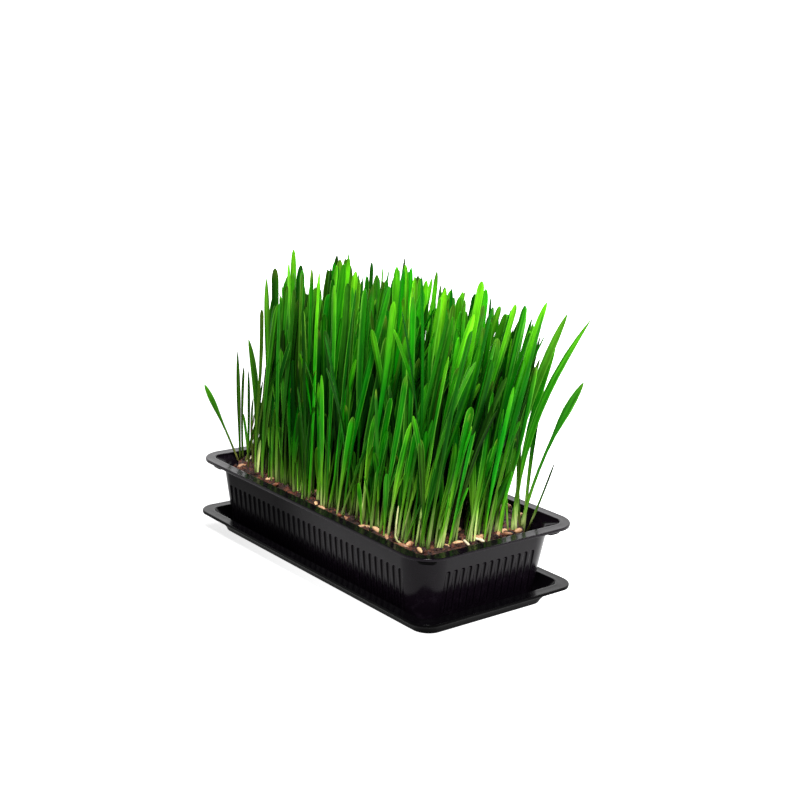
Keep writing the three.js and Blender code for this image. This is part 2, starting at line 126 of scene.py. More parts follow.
def make_camera():
    data = bpy.data.cameras.new("camera")
    data.sensor_width = 36.0
    data.lens = FOCAL_PIXELS / PICTURE_SIDE * data.sensor_width
    data.clip_start = 0.01
    camera = bpy.data.objects.new("camera", data)
    place = EYE * MM
    camera.matrix_world = Matrix([(*RIGHT, 0), (*UP, 0), (*BACK, 0), (*place, 1)]).transposed()
    bpy.context.scene.collection.objects.link(camera)
    bpy.context.scene.camera = camera


def pixel_of(point):
    """Where the camera sees a point."""
    away = np.asarray(point) - EYE
    scale = -FOCAL_PIXELS / (away @ BACK)
    return PICTURE_SIDE / 2 + scale * (away @ RIGHT), PICTURE_SIDE / 2 - scale * (away @ UP)


def pixel_size(point):
    """How wide a pixel is at a point, in mm."""
    return (EYE - point) @ BACK / FOCAL_PIXELS


def seen_at(pixel, level):
    """Where the line of sight through a pixel meets the level plane z = level."""
    half = PICTURE_SIDE / 2
    sight = -BACK + RIGHT * (pixel[0] - half) / FOCAL_PIXELS + UP * (half - pixel[1]) / FOCAL_PIXELS
    return EYE + sight * (level - EYE[2]) / sight[2]


def upright_at(pixel, foot):
    """Where the line of sight through a pixel meets the upright plane through foot that faces the camera."""
    levels = np.linspace(SOIL_LEVEL, 200, 60)
    behind = [(seen_at(pixel, level) - foot) @ (BACK * (1, 1, 0)) for level in levels]
    return seen_at(pixel, np.interp(0.0, behind, levels))


# ---- meshes ----


def make_object(name, points, faces, material):
    """An object with a mesh from points in millimetres."""
    mesh = bpy.data.meshes.new(name)
    mesh.from_pydata((np.asarray(points) * MM).tolist(), [], faces)
    mesh.materials.append(material)
    made = bpy.data.objects.new(name, mesh)
    bpy.context.scene.collection.objects.link(made)
    return made


def make_piece(name, points, faces, material, replaces=(), smooth_faces=True):
    """A piece of the part, which rides on the only body."""
    piece = make_object(name, points, faces, material)
    if smooth_faces:
        piece.data.shade_smooth()
    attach(piece, "root")
    if replaces:
        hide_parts(*replaces)
    return piece


def put_attribute(piece, name, kind, values):
    """Stores a value for each point; kind is FLOAT, FLOAT_VECTOR or FLOAT_COLOR."""
    field = {"FLOAT": "value", "FLOAT_VECTOR": "vector", "FLOAT_COLOR": "color"}[kind]
    attribute = piece.data.attributes.new(name, kind, "POINT")
    attribute.data.foreach_set(field, np.asarray(values, np.float32).ravel())


def tube_faces(rings, around, start=0, capped=True):
    """Faces over a stack of rings that run counter-clockwise as seen from the last one."""
    faces = []
    for ring in range(rings - 1):
        low, high = start + ring * around, start + (ring + 1) * around
        for index in range(around):
            after = (index + 1) % around
            faces.append((low + index, low + after, high + after, high + index))
    if capped:
        faces.append(tuple(range(start + around - 1, start - 1, -1)))
        last = start + (rings - 1) * around
        faces.append(tuple(range(last, last + around)))
    return faces


def make_lumps(name, lumps, around, material, tints=(), smooth_faces=True):
    """A piece of many closed forms, each a stack of rings. tints has a colour for each of them."""
    points, faces = [], []
    for lump in lumps:
        faces.extend(tube_faces(len(lump) // around, around, len(points)))
        points.extend(lump)
    piece = make_piece(name, points, faces, material, smooth_faces=smooth_faces)
    if tints:
        shown = [(*tint, 1.0) for tint, lump in zip(tints, lumps, strict=True) for _ in lump]
        put_attribute(piece, "tint", "FLOAT_COLOR", shown)


def unit(vectors):
    """Rows made one long."""
    return vectors / np.linalg.norm(vectors, axis=1)[:, None]


# ---- materials ----


class Nodes:
    """A node tree, and short ways to add nodes to it. An input is a socket to link or a plain value."""

    def __init__(self, tree):
        self.tree = tree

    def feed(self, socket, value):
        if isinstance(value, bpy.types.NodeSocket):
            self.tree.links.new(value, socket)
        elif np.size(value) == 3 and socket.type == "RGBA":
            socket.default_value = (*value, 1.0)
        else:
            socket.default_value = value

    def node(self, kind, inputs, output=0, **settings):
        made = self.tree.nodes.new(kind)
        for key, value in settings.items():
            setattr(made, key, value)
        for key, value in inputs.items():
            self.feed(made.inputs[key], value)
        return made.outputs[output]

    def place(self):
        """The point on the piece, in metres."""
        return self.node("ShaderNodeTexCoord", {}, "Object")

    def attribute(self, name, output="Color"):
        return self.node("ShaderNodeAttribute", {}, output, attribute_name=name)

    def noise(self, place, scale, detail=4.0, roughness=0.55):
        inputs = {"Vector": place, "Scale": scale, "Detail": detail, "Roughness": roughness}
        return self.node("ShaderNodeTexNoise", inputs, "Fac")

    def cells(self, place, scale, output="Distance"):
        return self.node("ShaderNodeTexVoronoi", {"Vector": place, "Scale": scale}, output)

    def stretched(self, place, factors):
        return self.node("ShaderNodeVectorMath", {0: place, 1: factors}, operation="MULTIPLY")

    def towards(self, place, direction):
        """How far a place lies in a direction."""
        return self.node("ShaderNodeVectorMath", {0: place, 1: direction}, "Value", operation="DOT_PRODUCT")

    def ramp(self, factor, stops):
        """A colour from a factor; stops are (position, colour)."""
        made = self.tree.nodes.new("ShaderNodeValToRGB")
        elements = made.color_ramp.elements
        while len(elements) < len(stops):
            elements.new(1.0)
        for element, (position, value) in zip(elements, stops, strict=True):
            element.position = position
            element.color = (*value, 1.0)
        self.feed(made.inputs[0], factor)
        return made.outputs["Color"]

    def range(self, factor, low, high, to_low, to_high, kind="LINEAR"):
        inputs = {"Value": factor, "From Min": low, "From Max": high, "To Min": to_low, "To Max": to_high}
        return self.node("ShaderNodeMapRange", inputs, "Result", interpolation_type=kind)

    def mix(self, factor, one, other, kind="MIX"):
        """Mixes two colours, which go into the node's sockets 6 and 7."""
        return self.node("ShaderNodeMix", {0: factor, 6: one, 7: other}, 2, data_type="RGBA", blend_type=kind)

    def bump(self, height, distance, strength=1.0, **normal):
        inputs = {"Height": height, "Distance": distance, "Strength": strength} | normal
        return self.node("ShaderNodeBump", inputs, "Normal")


class Shader(Nodes):
    """A material with its node tree."""

    def __init__(self, name):
        self.material = bpy.data.materials.new(name)
        self.material.use_nodes = True
        super().__init__(self.material.node_tree)
        self.surface = self.tree.nodes["Principled BSDF"]

    def set(self, **values):
        for key, value in values.items():
            self.feed(self.surface.inputs[key.replace("_", " ")], value)


def plastic_material(name, tone, gloss=0.11):
    """Thin black formed plastic: satin gloss, faint flow in the sheet and a little dust. Where its mesh asks
    for it, on the flutes' sides, the drip tray's lip and the front wall's left end, painted shade darkens it
    and takes away its gloss.
    """
    shader = Shader(name)
    tone = np.array(tone)
    place = shader.place()
    painted_shade = shader.attribute("painted_shade", "Fac")
    waves = shader.noise(place, 38.0, detail=2.0)
    grain = shader.noise(place, 2600.0, detail=3.0)
    dust = shader.noise(place, 190.0, detail=6.0, roughness=0.7)
    dusted = shader.mix(shader.range(dust, 0.55, 0.78, 0.0, 1.0), tone, 2.0 * tone + 0.002)
    shader.set(
        # painted shade: a darker colour and no gloss where the mesh asks for it
        Base_Color=shader.mix(painted_shade, dusted, 0.2 * tone),
        Roughness=shader.range(dust, 0.3, 0.75, 0.13, 0.24),
        Specular_IOR_Level=shader.range(painted_shade, 0.0, 1.0, gloss, 0.01),
        Normal=shader.bump(grain, 0.00002, 0.4, Normal=shader.bump(waves, 0.0007, 0.3)),
    )
    return shader.material


SOIL_DARK = colour(14, 7, 5)
SOIL_BROWN = colour(52, 22, 12)
SOIL_RED = colour(128, 56, 32)
SOIL_TAN = colour(176, 112, 70)


def soil_material(name, lightness):
    """Moist peat and bark: dark, with redder and paler crumbs."""
    shader = Shader(name)
    place = shader.place()
    crumb = shader.cells(place, 420.0, output="Color")
    clump = shader.noise(place, 120.0, detail=5.0)
    fibre = shader.noise(place, 900.0, detail=6.0, roughness=0.7)
    hue = shader.ramp(crumb, [
        (0.0, SOIL_DARK),
        (0.45, SOIL_BROWN),
        (0.72, SOIL_RED * lightness),
        (0.97, SOIL_TAN * lightness),
    ])
    wet = shader.mix(shader.range(clump, 0.35, 0.65, 0.15, 0.9), SOIL_DARK, hue)
    lumpy = shader.bump(shader.cells(place, 700.0), 0.0006, 0.7)
    shader.set(
        Base_Color=shader.mix(shader.range(fibre, 0.4, 0.7, 0.0, 0.45), wet, SOIL_BROWN),
        Roughness=shader.range(fibre, 0.3, 0.7, 0.6, 0.95),
        Normal=shader.bump(fibre, 0.0005, 0.8, Normal=lumpy),
    )
    return shader.material


def grain_material():
    """Wheat grains and their husks: tan to red-brown, wrinkled along their length."""
    shader = Shader("wheat_grain")
    place = shader.place()
    streaks = shader.noise(place, 1500.0, detail=5.0)
    blotches = shader.range(shader.noise(place, 420.0, detail=3.0), 0.5, 0.75, 0.0, 0.6)
    stained = shader.mix(blotches, shader.attribute("tint"), SOIL_BROWN)
    shader.set(
        Base_Color=shader.mix(shader.range(streaks, 0.3, 0.7, 0.3, 0.0), stained, SOIL_RED),
        Roughness=0.5,
        Normal=shader.bump(streaks, 0.0002, 0.6),
    )
    return shader.material


MARGIN_HIGHLIGHT = (0.16, 0.36, 0.05)  # a painted highlight: what a leaf's margins have over the rest


def leaf_material():
    """Leaf tissue: its own colour, a painted highlight along its margins, fine veins along it, a waxy sheen,
    and light through it.
    """
    shader = Shader("wheatgrass_leaf")
    tint = shader.attribute("tint")
    # a painted highlight along the margins, as strong as the tint's alpha
    edge = shader.range(shader.attribute("across", "Fac"), 0.68, 0.94, 0.0, 1.0)
    margin = shader.mix(1.0, edge, shader.attribute("tint", "Alpha"), "MULTIPLY")
    own = shader.mix(margin, tint, shader.mix(1.0, tint, MARGIN_HIGHLIGHT, "ADD"))
    place = shader.attribute("leaf_place", "Vector")
    veins = shader.noise(shader.stretched(place, (3.4, 0.035, 1.0)), 1.0, detail=3.0)
    mottle = shader.noise(shader.stretched(place, (0.5, 0.09, 1.0)), 1.0, detail=3.0)
    veined = shader.mix(shader.range(veins, 0.4, 0.65, 0.0, 0.55), own, colour(150, 230, 60), "SOFT_LIGHT")
    darker = shader.mix(shader.range(veins, 0.35, 0.5, 0.5, 0.0), veined, colour(90, 150, 90), "MULTIPLY")
    spots = shader.range(mottle, 0.35, 0.7, 0.0, 0.5)
    tissue = shader.mix(spots, darker, colour(120, 170, 120), "MULTIPLY")
    shader.set(
        Base_Color=tissue,
        Roughness=shader.range(mottle, 0.3, 0.7, 0.36, 0.5),
        Specular_IOR_Level=0.05,
        Normal=shader.bump(veins, 0.00012, 0.6),
    )
    glow = shader.mix(1.0, tissue, (1.25, 1.2, 0.5), "MULTIPLY")
    through = shader.node("ShaderNodeBsdfTranslucent", {"Color": glow})
    both = shader.node("ShaderNodeMixShader", {0: 0.3, 1: shader.surface.outputs[0], 2: through})
    shader.feed(shader.tree.nodes["Material Output"].inputs["Surface"], both)
    return shader.material


# ---- the two trays ----

EDGE = 0.45  # rounding along the rims
CORNER_STEPS = 14

DRIP = {
    "sheet": 0.8,
    "floor": (204.5, 93.0, 10.8),  # length, width, corner radius
    "fillet": 1.6,
    "opening": (214.0, 102.5, 8.0),
    "rim": (228.0, 116.5, 12.5),
    "top": 12.3,
    "lip": 1.8,
    "middle": 6.5,  # a level halfway up the wall
}

TRAY = {
    "sheet": 1.6,
    "rim_sheet": 0.9,
    "floor": 1.1,
    "floor_sheet": 1.4,
    "fillet": 4.0,
    "inner_fillet": 2.8,
    "foot": (195.2, 93.2, 15.5),
    "shoulder": (206.0, 104.0, 18.5),
    "shoulder_level": 43.6,
    "step": 0.8,
    "opening": (210.0, 105.0, 7.4),
    "rim": (225.0, 119.5, 17.5),
    "top": 48.2,
    "lip": 1.8,
}
FOOT_LEVEL = TRAY["floor"] + TRAY["fillet"]

FLUTE_PITCH = 5.24
FLUTE_HALF = 1.45
FLUTE_BOTTOM, FLUTE_TOP = 8.5, 34.2
FLUTE_SHALLOW, FLUTE_DEEP = 0.35, 1.0  # at the bottom and at the top: a flute stands steeper than the wall
LONG_FLUTES, SHORT_FLUTES = 33, 13
FLUTE_STATIONS = (-2.62, -1.9, -1.65, -1.45, -1.25, -0.95, -0.4, 0.4, 0.95, 1.25, 1.45, 1.65, 1.9)
WALL_LEVELS = (  # the wall's rings outside, closer together over the flutes' round ends
    42.0, 38.5, 36.2, 35.2, 34.7, 34.4, 34.15, 33.9, 33.65, 33.3, 32.8, 32.2, 31.2, 29.0, 26.0, 23.0, 20.0,
    16.0, 12.5, 11.0, 10.0, 9.3, 8.7, 8.1, 7.0, FOOT_LEVEL,
)
# Painted shade on the front wall's left end and on the drip tray's lip: how much it darkens them and takes
# away their gloss, where 1 is as much as on a flute's sides.
END_SHADE, LIP_SHADE = 0.88, 0.9
SHADE_COMES, SHADE_FADES = (-104, -86), (-34, 30)  # where along X the painted shade at the wall's end comes in, and where it fades out
SHADE_FOOT, SHADE_SHOULDER = (4, 9), (43.5, 47)  # and the same up the wall
FRONT_WALL_Y = -40  # only the front wall lies before this


def grown(outline, margin):
    length, width, corner = outline
    return (length + 2 * margin, width + 2 * margin, np.maximum(corner + margin, 0.5))


def between(one, other, share):
    return tuple(a + (b - a) * share for a, b in zip(one, other, strict=True))


def wall_outline(level):
    """The growing tray's wall outside, from its foot to its shoulder."""
    share = (level - FOOT_LEVEL) / (TRAY["shoulder_level"] - FOOT_LEVEL)
    return between(TRAY["foot"], TRAY["shoulder"], share)


def inset_at(along, half, corner):
    """How far a rounded rectangle's side has turned in, at a place along it."""
    over = np.clip(np.abs(along) - (half - corner), 0.0, corner)
    return corner - np.sqrt(corner * corner - over * over)


def side_stations(flutes):
    """Places along a side, denser over each flute."""
    places = [
        (index - (flutes - 1) / 2) * FLUTE_PITCH + station
        for index in range(flutes)
        for station in FLUTE_STATIONS
    ]
    return np.array([*places, -places[0]])


def ring(outline, level, stations, carve=None):
    """A rounded rectangle at a level, counter-clockwise from above. carve(along, level) is pushed in."""
    length, width, corner = outline
    points = []
    for facing in ((0, -1), (1, 0), (0, 1), (-1, 0)):
        out = np.array([*facing, 0.0])
        along = np.array([-facing[1], facing[0], 0.0])
        half_out, half_along = (width / 2, length / 2) if facing[0] == 0 else (length / 2, width / 2)
        own, following = stations if facing[0] == 0 else stations[::-1]
        reach = half_out - inset_at(own, half_along, corner)
        if carve is not None:
            reach = reach - carve(own, level)
        points.append(out * reach[:, None] + along * own[:, None])
        first = math.asin(np.clip((own[-1] - (half_along - corner)) / corner, 0.0, 1.0))
        last = math.asin(np.clip((following[-1] - (half_out - corner)) / corner, 0.0, 1.0))
        turn = np.linspace(first, math.pi / 2 - last, CORNER_STEPS + 3)[1:-1, None]
        centre = out * (half_out - corner) + along * (half_along - corner)
        points.append(centre + corner * (out * np.cos(turn) + along * np.sin(turn)))
    points = np.concatenate(points)
    points[:, 2] = level
    return points


def flute_share(along, level):
    """0 on the wall between the flutes, and 1 on a flute's bottom."""
    local = (along + FLUTE_PITCH / 2) % FLUTE_PITCH - FLUTE_PITCH / 2
    up = max(level - (FLUTE_TOP - FLUTE_HALF), 0.0) + min(level - (FLUTE_BOTTOM + FLUTE_HALF), 0.0)
    return smooth(FLUTE_HALF - np.hypot(local, up), -0.2, 0.5)


def flute_depth(along, level):
    """How deep the flutes are pressed in at a place along a side."""
    share = np.clip((level - FLUTE_BOTTOM) / (FLUTE_TOP - FLUTE_BOTTOM), 0.0, 1.0)
    return (FLUTE_SHALLOW + (FLUTE_DEEP - FLUTE_SHALLOW) * share) * flute_share(along, level)


def flute_painted_shade(profile, stations, carved):
    """Painted shade: 1 along the flutes' sloping sides and 0 elsewhere, for the points of a tray's mesh."""
    values = []
    corner = np.zeros(CORNER_STEPS + 1)
    for index, (_, level) in enumerate(profile):
        for own in (*stations, *stations):
            share = flute_share(own, level) * (index in carved)
            values.extend([4 * share * (1 - share), corner])
    return np.concatenate(values)


def end_painted_shade(points):
    """Painted shade on the front wall, which darkens it and takes away its gloss: most towards its left end.
    """
    x, y, z = points.T
    along = smooth(x, *SHADE_COMES) * (1 - smooth(x, *SHADE_FADES))
    shaded = END_SHADE * along * smooth(z, *SHADE_FOOT) * (1 - smooth(z, *SHADE_SHOULDER))
    return shaded * (y < FRONT_WALL_Y)


def rounded(outline, level, radius, steps, quarter):
    """Rings round an edge of that radius. quarter names where the edge goes: its margin and level signs."""
    out_sign, up_sign, upright_first = quarter
    rings = []
    for turn in np.radians(np.linspace(0, 90, steps)):
        across, rise = math.sin(turn), 1 - math.cos(turn)
        if upright_first:
            across, rise = 1 - math.cos(turn), math.sin(turn)
        rings.append((grown(outline, out_sign * radius * across), level + up_sign * radius * rise))
    return rings


def make_tray(name, profile, stations, material, node, carved=()):
    """A tray from (outline, level) pairs. The flutes press in the rings that are numbered in carved."""
    rings = [
        ring(outline, level, stations, flute_depth if index in carved else None)
        for index, (outline, level) in enumerate(profile)
    ]
    faces = [face[::-1] for face in tube_faces(len(rings), len(rings[0]))]
    points = np.concatenate(rings)
    return make_piece(name, points, faces, material, [node]), points


def rim_profile(opening, rim, top, sheet, lip):
    """From the opening's inner edge over the flange, round its turned-down lip and back beneath it."""
    return [
        *rounded(opening, top - EDGE, EDGE, 4, (1, 1, True)),
        (grown(opening, EDGE + 0.8), top - 0.04),
        (grown(opening, EDGE + 2.0), top - 0.06),
        (grown(rim, -EDGE - 1.8), top - 0.06),
        (grown(rim, -EDGE - 0.8), top - 0.03),
        *rounded(grown(rim, -EDGE), top, EDGE, 4, (1, -1, False)),
        (rim, top - lip + 0.45),
        (grown(rim, -0.14), top - lip + 0.14),
        (grown(rim, -0.45), top - lip),
        (grown(rim, -sheet), top - lip + 0.25),
        (grown(rim, -sheet), top - sheet - 0.4),
        (grown(rim, -sheet - 0.4), top - sheet),
    ]


def make_drip_tray(material):
    sheet, fillet, top, middle = DRIP["sheet"], DRIP["fillet"], DRIP["top"], DRIP["middle"]
    floor, opening = DRIP["floor"], DRIP["opening"]
    wall = between(floor, opening, (middle - fillet) / (top - sheet - fillet))
    stations = (np.linspace(-88, 88, 23), np.linspace(-36, 36, 11))
    profile = [
        (grown(floor, -30.0), sheet + 0.5),
        (grown(floor, -29.0), sheet + 0.5),
        (grown(floor, -28.0), sheet),
        (grown(floor, -sheet - 3.6), sheet),
        *rounded(grown(floor, -sheet - fillet - 0.6), sheet, fillet, 4, (1, 1, False)),
        (grown(wall, -0.1), middle),
        (grown(opening, -0.5), top - 1.2),
        *rim_profile(opening, DRIP["rim"], top, sheet, DRIP["lip"]),
        (grown(opening, sheet + 0.4), top - sheet),
        (grown(opening, sheet), top - sheet - 0.4),
        (grown(wall, sheet * 0.5), middle),
        *rounded(floor, fillet, fillet, 5, (-1, -1, True)),
    ]
    piece, points = make_tray("drip_saucer", profile, stations, material, "drip_tray")
    lip = next(index for index, (outline, _) in enumerate(profile) if outline[0] > DRIP["rim"][0] - 0.01)
    # painted shade on the lip: darker and without gloss
    shaded = np.interp(np.arange(len(profile)), (lip - 3, lip), (0.0, LIP_SHADE))
    put_attribute(piece, "painted_shade", "FLOAT", np.repeat(shaded, len(points) // len(profile)))


def make_growing_tray(material):
    sheet, rim_sheet, top = TRAY["sheet"], TRAY["rim_sheet"], TRAY["top"]
    shoulder, shoulder_level, opening = TRAY["shoulder"], TRAY["shoulder_level"], TRAY["opening"]
    floor_top = TRAY["floor"] + TRAY["floor_sheet"]
    inner = TRAY["inner_fillet"]
    step_top = shoulder_level + TRAY["step"]
    stations = (side_stations(LONG_FLUTES), side_stations(SHORT_FLUTES))
    upper = [
        *rounded(grown(wall_outline(FOOT_LEVEL), -sheet - inner), floor_top, inner, 4, (1, 1, False)),
        (grown(wall_outline(25.0), -sheet), 25.0),
        (grown(wall_outline(36.0), -sheet), 36.0),
        (grown(shoulder, -0.5), shoulder_level + 0.2),
        (grown(opening, -0.3), top - 1.9),
        (opening, top - 1.2),
        *rim_profile(opening, TRAY["rim"], top, rim_sheet, TRAY["lip"]),
        (grown(opening, rim_sheet + 0.5), top - rim_sheet),
        (grown(opening, rim_sheet), top - rim_sheet - 0.5),
        (grown(opening, rim_sheet), step_top + 0.4),
        (grown(opening, rim_sheet - 0.4), step_top),
        (grown(shoulder, 0.1), shoulder_level + 0.2),
        (grown(shoulder, -0.1), shoulder_level - 0.4),
    ]
    wall = [(wall_outline(level), level) for level in WALL_LEVELS]
    base = rounded(wall_outline(FOOT_LEVEL), FOOT_LEVEL, TRAY["fillet"], 7, (-1, -1, True))[1:]
    profile = [*upper, *wall, *base]
    carved = range(len(upper), len(upper) + len(wall))
    piece, points = make_tray(
        "fluted_tray", profile, stations, material, "growing_tray", carved)
    # painted shade on the flutes' sides and on the front wall's left end
    shaded = np.maximum(flute_painted_shade(profile, stations, carved), end_painted_shade(points))
    put_attribute(piece, "painted_shade", "FLOAT", shaded)


LUG = {"half_depth": 2.0, "level": 45.5, "half_height": 1.9, "around": 10, "steps": 9}
# Where the lugs lie under the flange, which way they face, and half their length.
LUGS = (
    ((105.6, -50.9), (0.71, -0.71), 5.6),
    ((-105.6, 50.9), (-0.71, 0.71), 5.6),
    ((-91.5, -55.4), (0.0, -1.0), 4.6),
    ((108.0, 40.5), (1.0, 0.0), 4.8),
)


def lug_points(place, facing, half_length):
    out, along = np.array([*facing, 0.0]), np.array([-facing[1], facing[0], 0.0])
    points = []
    for share in np.linspace(-1, 1, LUG["steps"]):
        size = math.sqrt(max(1 - share ** 4, 0.03))
        for turn in ring_angles(LUG["around"]):
            level = LUG["level"] - LUG["half_height"] * size * math.sin(turn)
            outward = out * LUG["half_depth"] * size * math.cos(turn)
            points.append(np.array([*place, level]) + along * share * half_length + outward)
    return points


def make_corner_lugs(material):
    """The small bosses under the rim near its corners, which keep stacked trays apart."""
    lumps = [lug_points(*lug) for lug in LUGS]
    make_lumps("corner_lugs", lumps, LUG["around"], material)


# ---- soil ----

SOIL_LEVEL = 45.2
SOIL_GAP = 0.4  # to the tray's wall
SOIL_COLUMNS, SOIL_ROWS = 250, 124
SOIL_LAYERS = ((6.3, 0.0), (2.8, TRAY["inner_fillet"]))  # its rings below: level, and how far in
SINK_REACHES = {-1: 21.0, 1: 31.0}  # of the bare left and right corners
SINK_DROP = 24.0
CLODS = 5200
SMALL_CLODS = 0.75  # share of them that have a radius in the first range
CLOD_RADII = (0.8, 1.5), (1.5, 2.9)
CLOD_GROUND = 1.0  # how far below the soil's level the clods start
SOIL_ROUGHNESS = 0.06


def soil_half(level):
    """Half the soil's length and width and its corner radius at a level."""
    length, width, corner = grown(wall_outline(level), -TRAY["sheet"] - SOIL_GAP)
    return length / 2, width / 2, corner


HALF_LENGTH, HALF_WIDTH, SOIL_CORNER = soil_half(SOIL_LEVEL)


def sunk_level(x, y):
    """The soil's level before its crumbs: flat, and sloping down to the two bare corners."""
    level = np.full(np.shape(x), SOIL_LEVEL, float)
    for side in (-1, 1):
        inward = (TRAY["shoulder"][0] / 2 - side * x) + (TRAY["shoulder"][1] / 2 - side * y)
        level -= SINK_DROP * (1 - np.clip(inward / SINK_REACHES[side], 0.0, 1.0)) ** 0.75
    return level


def clod_relief():
    """A field of rounded clods, as heights over the ground between them."""
    x = np.linspace(-HALF_LENGTH, HALF_LENGTH, SOIL_COLUMNS)
    y = np.linspace(-HALF_WIDTH, HALF_WIDTH, SOIL_ROWS)
    relief = np.zeros((SOIL_COLUMNS, SOIL_ROWS))
    for _ in range(CLODS):
        centre = rng.uniform((-HALF_LENGTH, -HALF_WIDTH), (HALF_LENGTH, HALF_WIDTH))
        radius = rng.uniform(*CLOD_RADII[0 if rng.random() < SMALL_CLODS else 1])
        squash, turn = rng.uniform(0.6, 1.0), rng.uniform(0, math.pi)
        near_x = np.flatnonzero(np.abs(x - centre[0]) < radius)
        near_y = np.flatnonzero(np.abs(y - centre[1]) < radius)
        if not len(near_x) or not len(near_y):
            continue
        dx, dy = x[near_x][:, None] - centre[0], y[near_y][None, :] - centre[1]
        along, across = dx * math.cos(turn) + dy * math.sin(turn), dy * math.cos(turn) - dx * math.sin(turn)
        inside = 1 - (along / radius) ** 2 - (across / (radius * squash)) ** 2
        height = radius * rng.uniform(0.5, 0.85) * np.sqrt(np.clip(inside, 0, 1))
        block = np.ix_(near_x, near_y)
        relief[block] = np.maximum(relief[block], height)
    return relief


def make_soil(material):
    u = np.linspace(-1, 1, SOIL_COLUMNS)[:, None]
    v = np.linspace(-1, 1, SOIL_ROWS)[None, :]
    level = sunk_level(u * HALF_LENGTH + 0 * v, v * HALF_WIDTH + 0 * u)
    half_x, half_y, radius = soil_half(level)
    y = v * half_y
    x = u * (half_x - inset_at(y, half_y, radius))
    z = level - CLOD_GROUND + clod_relief() + rng.normal(0, SOIL_ROUGHNESS, level.shape)
    points = [np.stack([x, y, z], axis=2).reshape(-1, 3)]
    number = np.arange(z.size).reshape(z.shape)
    quads = np.stack([number[:-1, :-1], number[1:, :-1], number[1:, 1:], number[:-1, 1:]], axis=2)
    faces = quads.reshape(-1, 4).tolist()
    upper = np.array([*number[:, 0], *number[-1, 1:], *number[-2::-1, -1], *number[0, -2:0:-1]])
    around = len(upper)
    side_u, side_v = (np.broadcast_to(one, z.shape).ravel()[upper] for one in (u, v))
    half_x, half_y, radius = soil_half(SOIL_LAYERS[0][0])
    for layer, (low, inward) in enumerate(SOIL_LAYERS):
        lower_y = side_v * (half_y - inward)
        lower_x = side_u * (half_x - inward - inset_at(lower_y, half_y - inward, radius))
        points.append(np.stack([lower_x, lower_y, np.full(around, low)], axis=1))
        lower = z.size + layer * around + np.arange(around)
        faces.extend(np.stack([lower, np.roll(lower, -1), np.roll(upper, -1), upper], axis=1).tolist())
        upper = lower
    faces.append(upper[::-1].tolist())
    make_piece("soil_bed", np.concatenate(points), faces, material, ["growing_medium"])


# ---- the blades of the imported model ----

BLADES_OVER = 47.0  # only blades reach higher than this
BUNCHES = sorted(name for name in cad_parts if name.startswith("wheatgrass_bunch_"))


def is_high(vertex):
    return vertex.co.z > BLADES_OVER * MM


def connected(start):
    """The high vertices joined to start."""
    found, todo = {start}, [start]
    while todo:
        for edge in todo.pop().link_edges:
            for vertex in edge.verts:
                if vertex not in found and is_high(vertex):
                    found.add(vertex)
                    todo.append(vertex)
    return found


def place_of(vertex):
    return np.array(vertex.co) / MM


def section_facts(vertices):
    """The middle, width and turn of a blade's three-cornered section, whose longest side is its width."""
    corners = [place_of(vertex) for vertex in vertices]
    width, index = max((np.linalg.norm(corners[i] - corners[i - 1]), i) for i in range(3))
    one, other, keel = corners[index], corners[index - 1], corners[(index + 1) % 3]
    along = other - one
    if along[0] * (keel - one)[1] - along[1] * (keel - one)[0] < 0:
        along = -along
    return (one + other) / 2, width, math.atan2(along[1], along[0])


def read_blade(island):
    """A blade from its vertices over the soil: its base, a curve up to its tip, its width and turn."""
    ordered = sorted(island, key=lambda vertex: -vertex.co.z)
    tip, widest, middle = place_of(ordered[0]), ordered[1:4], ordered[4:7]
    lower = {edge.other_vert(one) for one in middle for edge in one.link_edges} - island
    root = np.mean([place_of(one) for one in lower], axis=0)
    wide_middle, width, wide_turn = section_facts(widest)
    low_middle, _, low_turn = section_facts(middle)
    height = tip[2] - SOIL_LEVEL
    shares = [(point[2] - SOIL_LEVEL) / height for point in (low_middle, wide_middle)]
    twist = (wide_turn - low_turn + math.pi) % math.tau - math.pi
    places = np.array([root[:2], low_middle[:2], wide_middle[:2], tip[:2]])
    return {
        "curve": np.polyfit([0.0, *shares, 1.0], places, 2),
        "height": height,
        "width": width,
        "turn": low_turn,
        "twist": twist / (shares[1] - shares[0]),
        "turn_share": shares[0],
    }


def read_blades(node):
    """The blades of a bunch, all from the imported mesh."""
    packed = bmesh.new()
    packed.from_mesh(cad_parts[node].data)
    bmesh.ops.remove_doubles(packed, verts=packed.verts, dist=1e-6)
    blades, seen = [], set()
    for vertex in packed.verts:
        if is_high(vertex) and vertex not in seen:
            island = connected(vertex)
            seen |= island
            blades.append(read_blade(island))
    packed.free()
    return sorted(blades, key=lambda blade: tuple(blade["curve"][2]))


def blade_tip(blade):
    return np.array([*blade["curve"].sum(axis=0), SOIL_LEVEL + blade["height"]])


# ---- where the picture shows leaves ----

# The looks of leaves. A leaf's light scales its colour as painted light and shade: FRESH ones are painted lit,
# DARK and OLIVE ones partly painted in shade besides their browner colour.
PLAIN = {}
FRESH = {"blue": 0.1, "lime": 1.0, "light": 1.0, "dry": 0.0}
OLIVE = {"blue": 0.0, "lime": 0.2, "light": 0.55, "dry": 0.6, "brown": 1.0, "olive": 0.8}
DARK = {"blue": 0.6, "lime": 0.0, "light": 0.35, "dry": 0.3, "brown": 1.0, "olive": 0.5}
LONE = {"facing": True, "bluntness": 0.65, "inner": 0.0, "reddish": 0.8, "stem": 0.7}
LONE_FRESH, LONE_OLIVE, LONE_DARK = FRESH | LONE, OLIVE | LONE, DARK | LONE
SIDE_ON = {"facing": True}


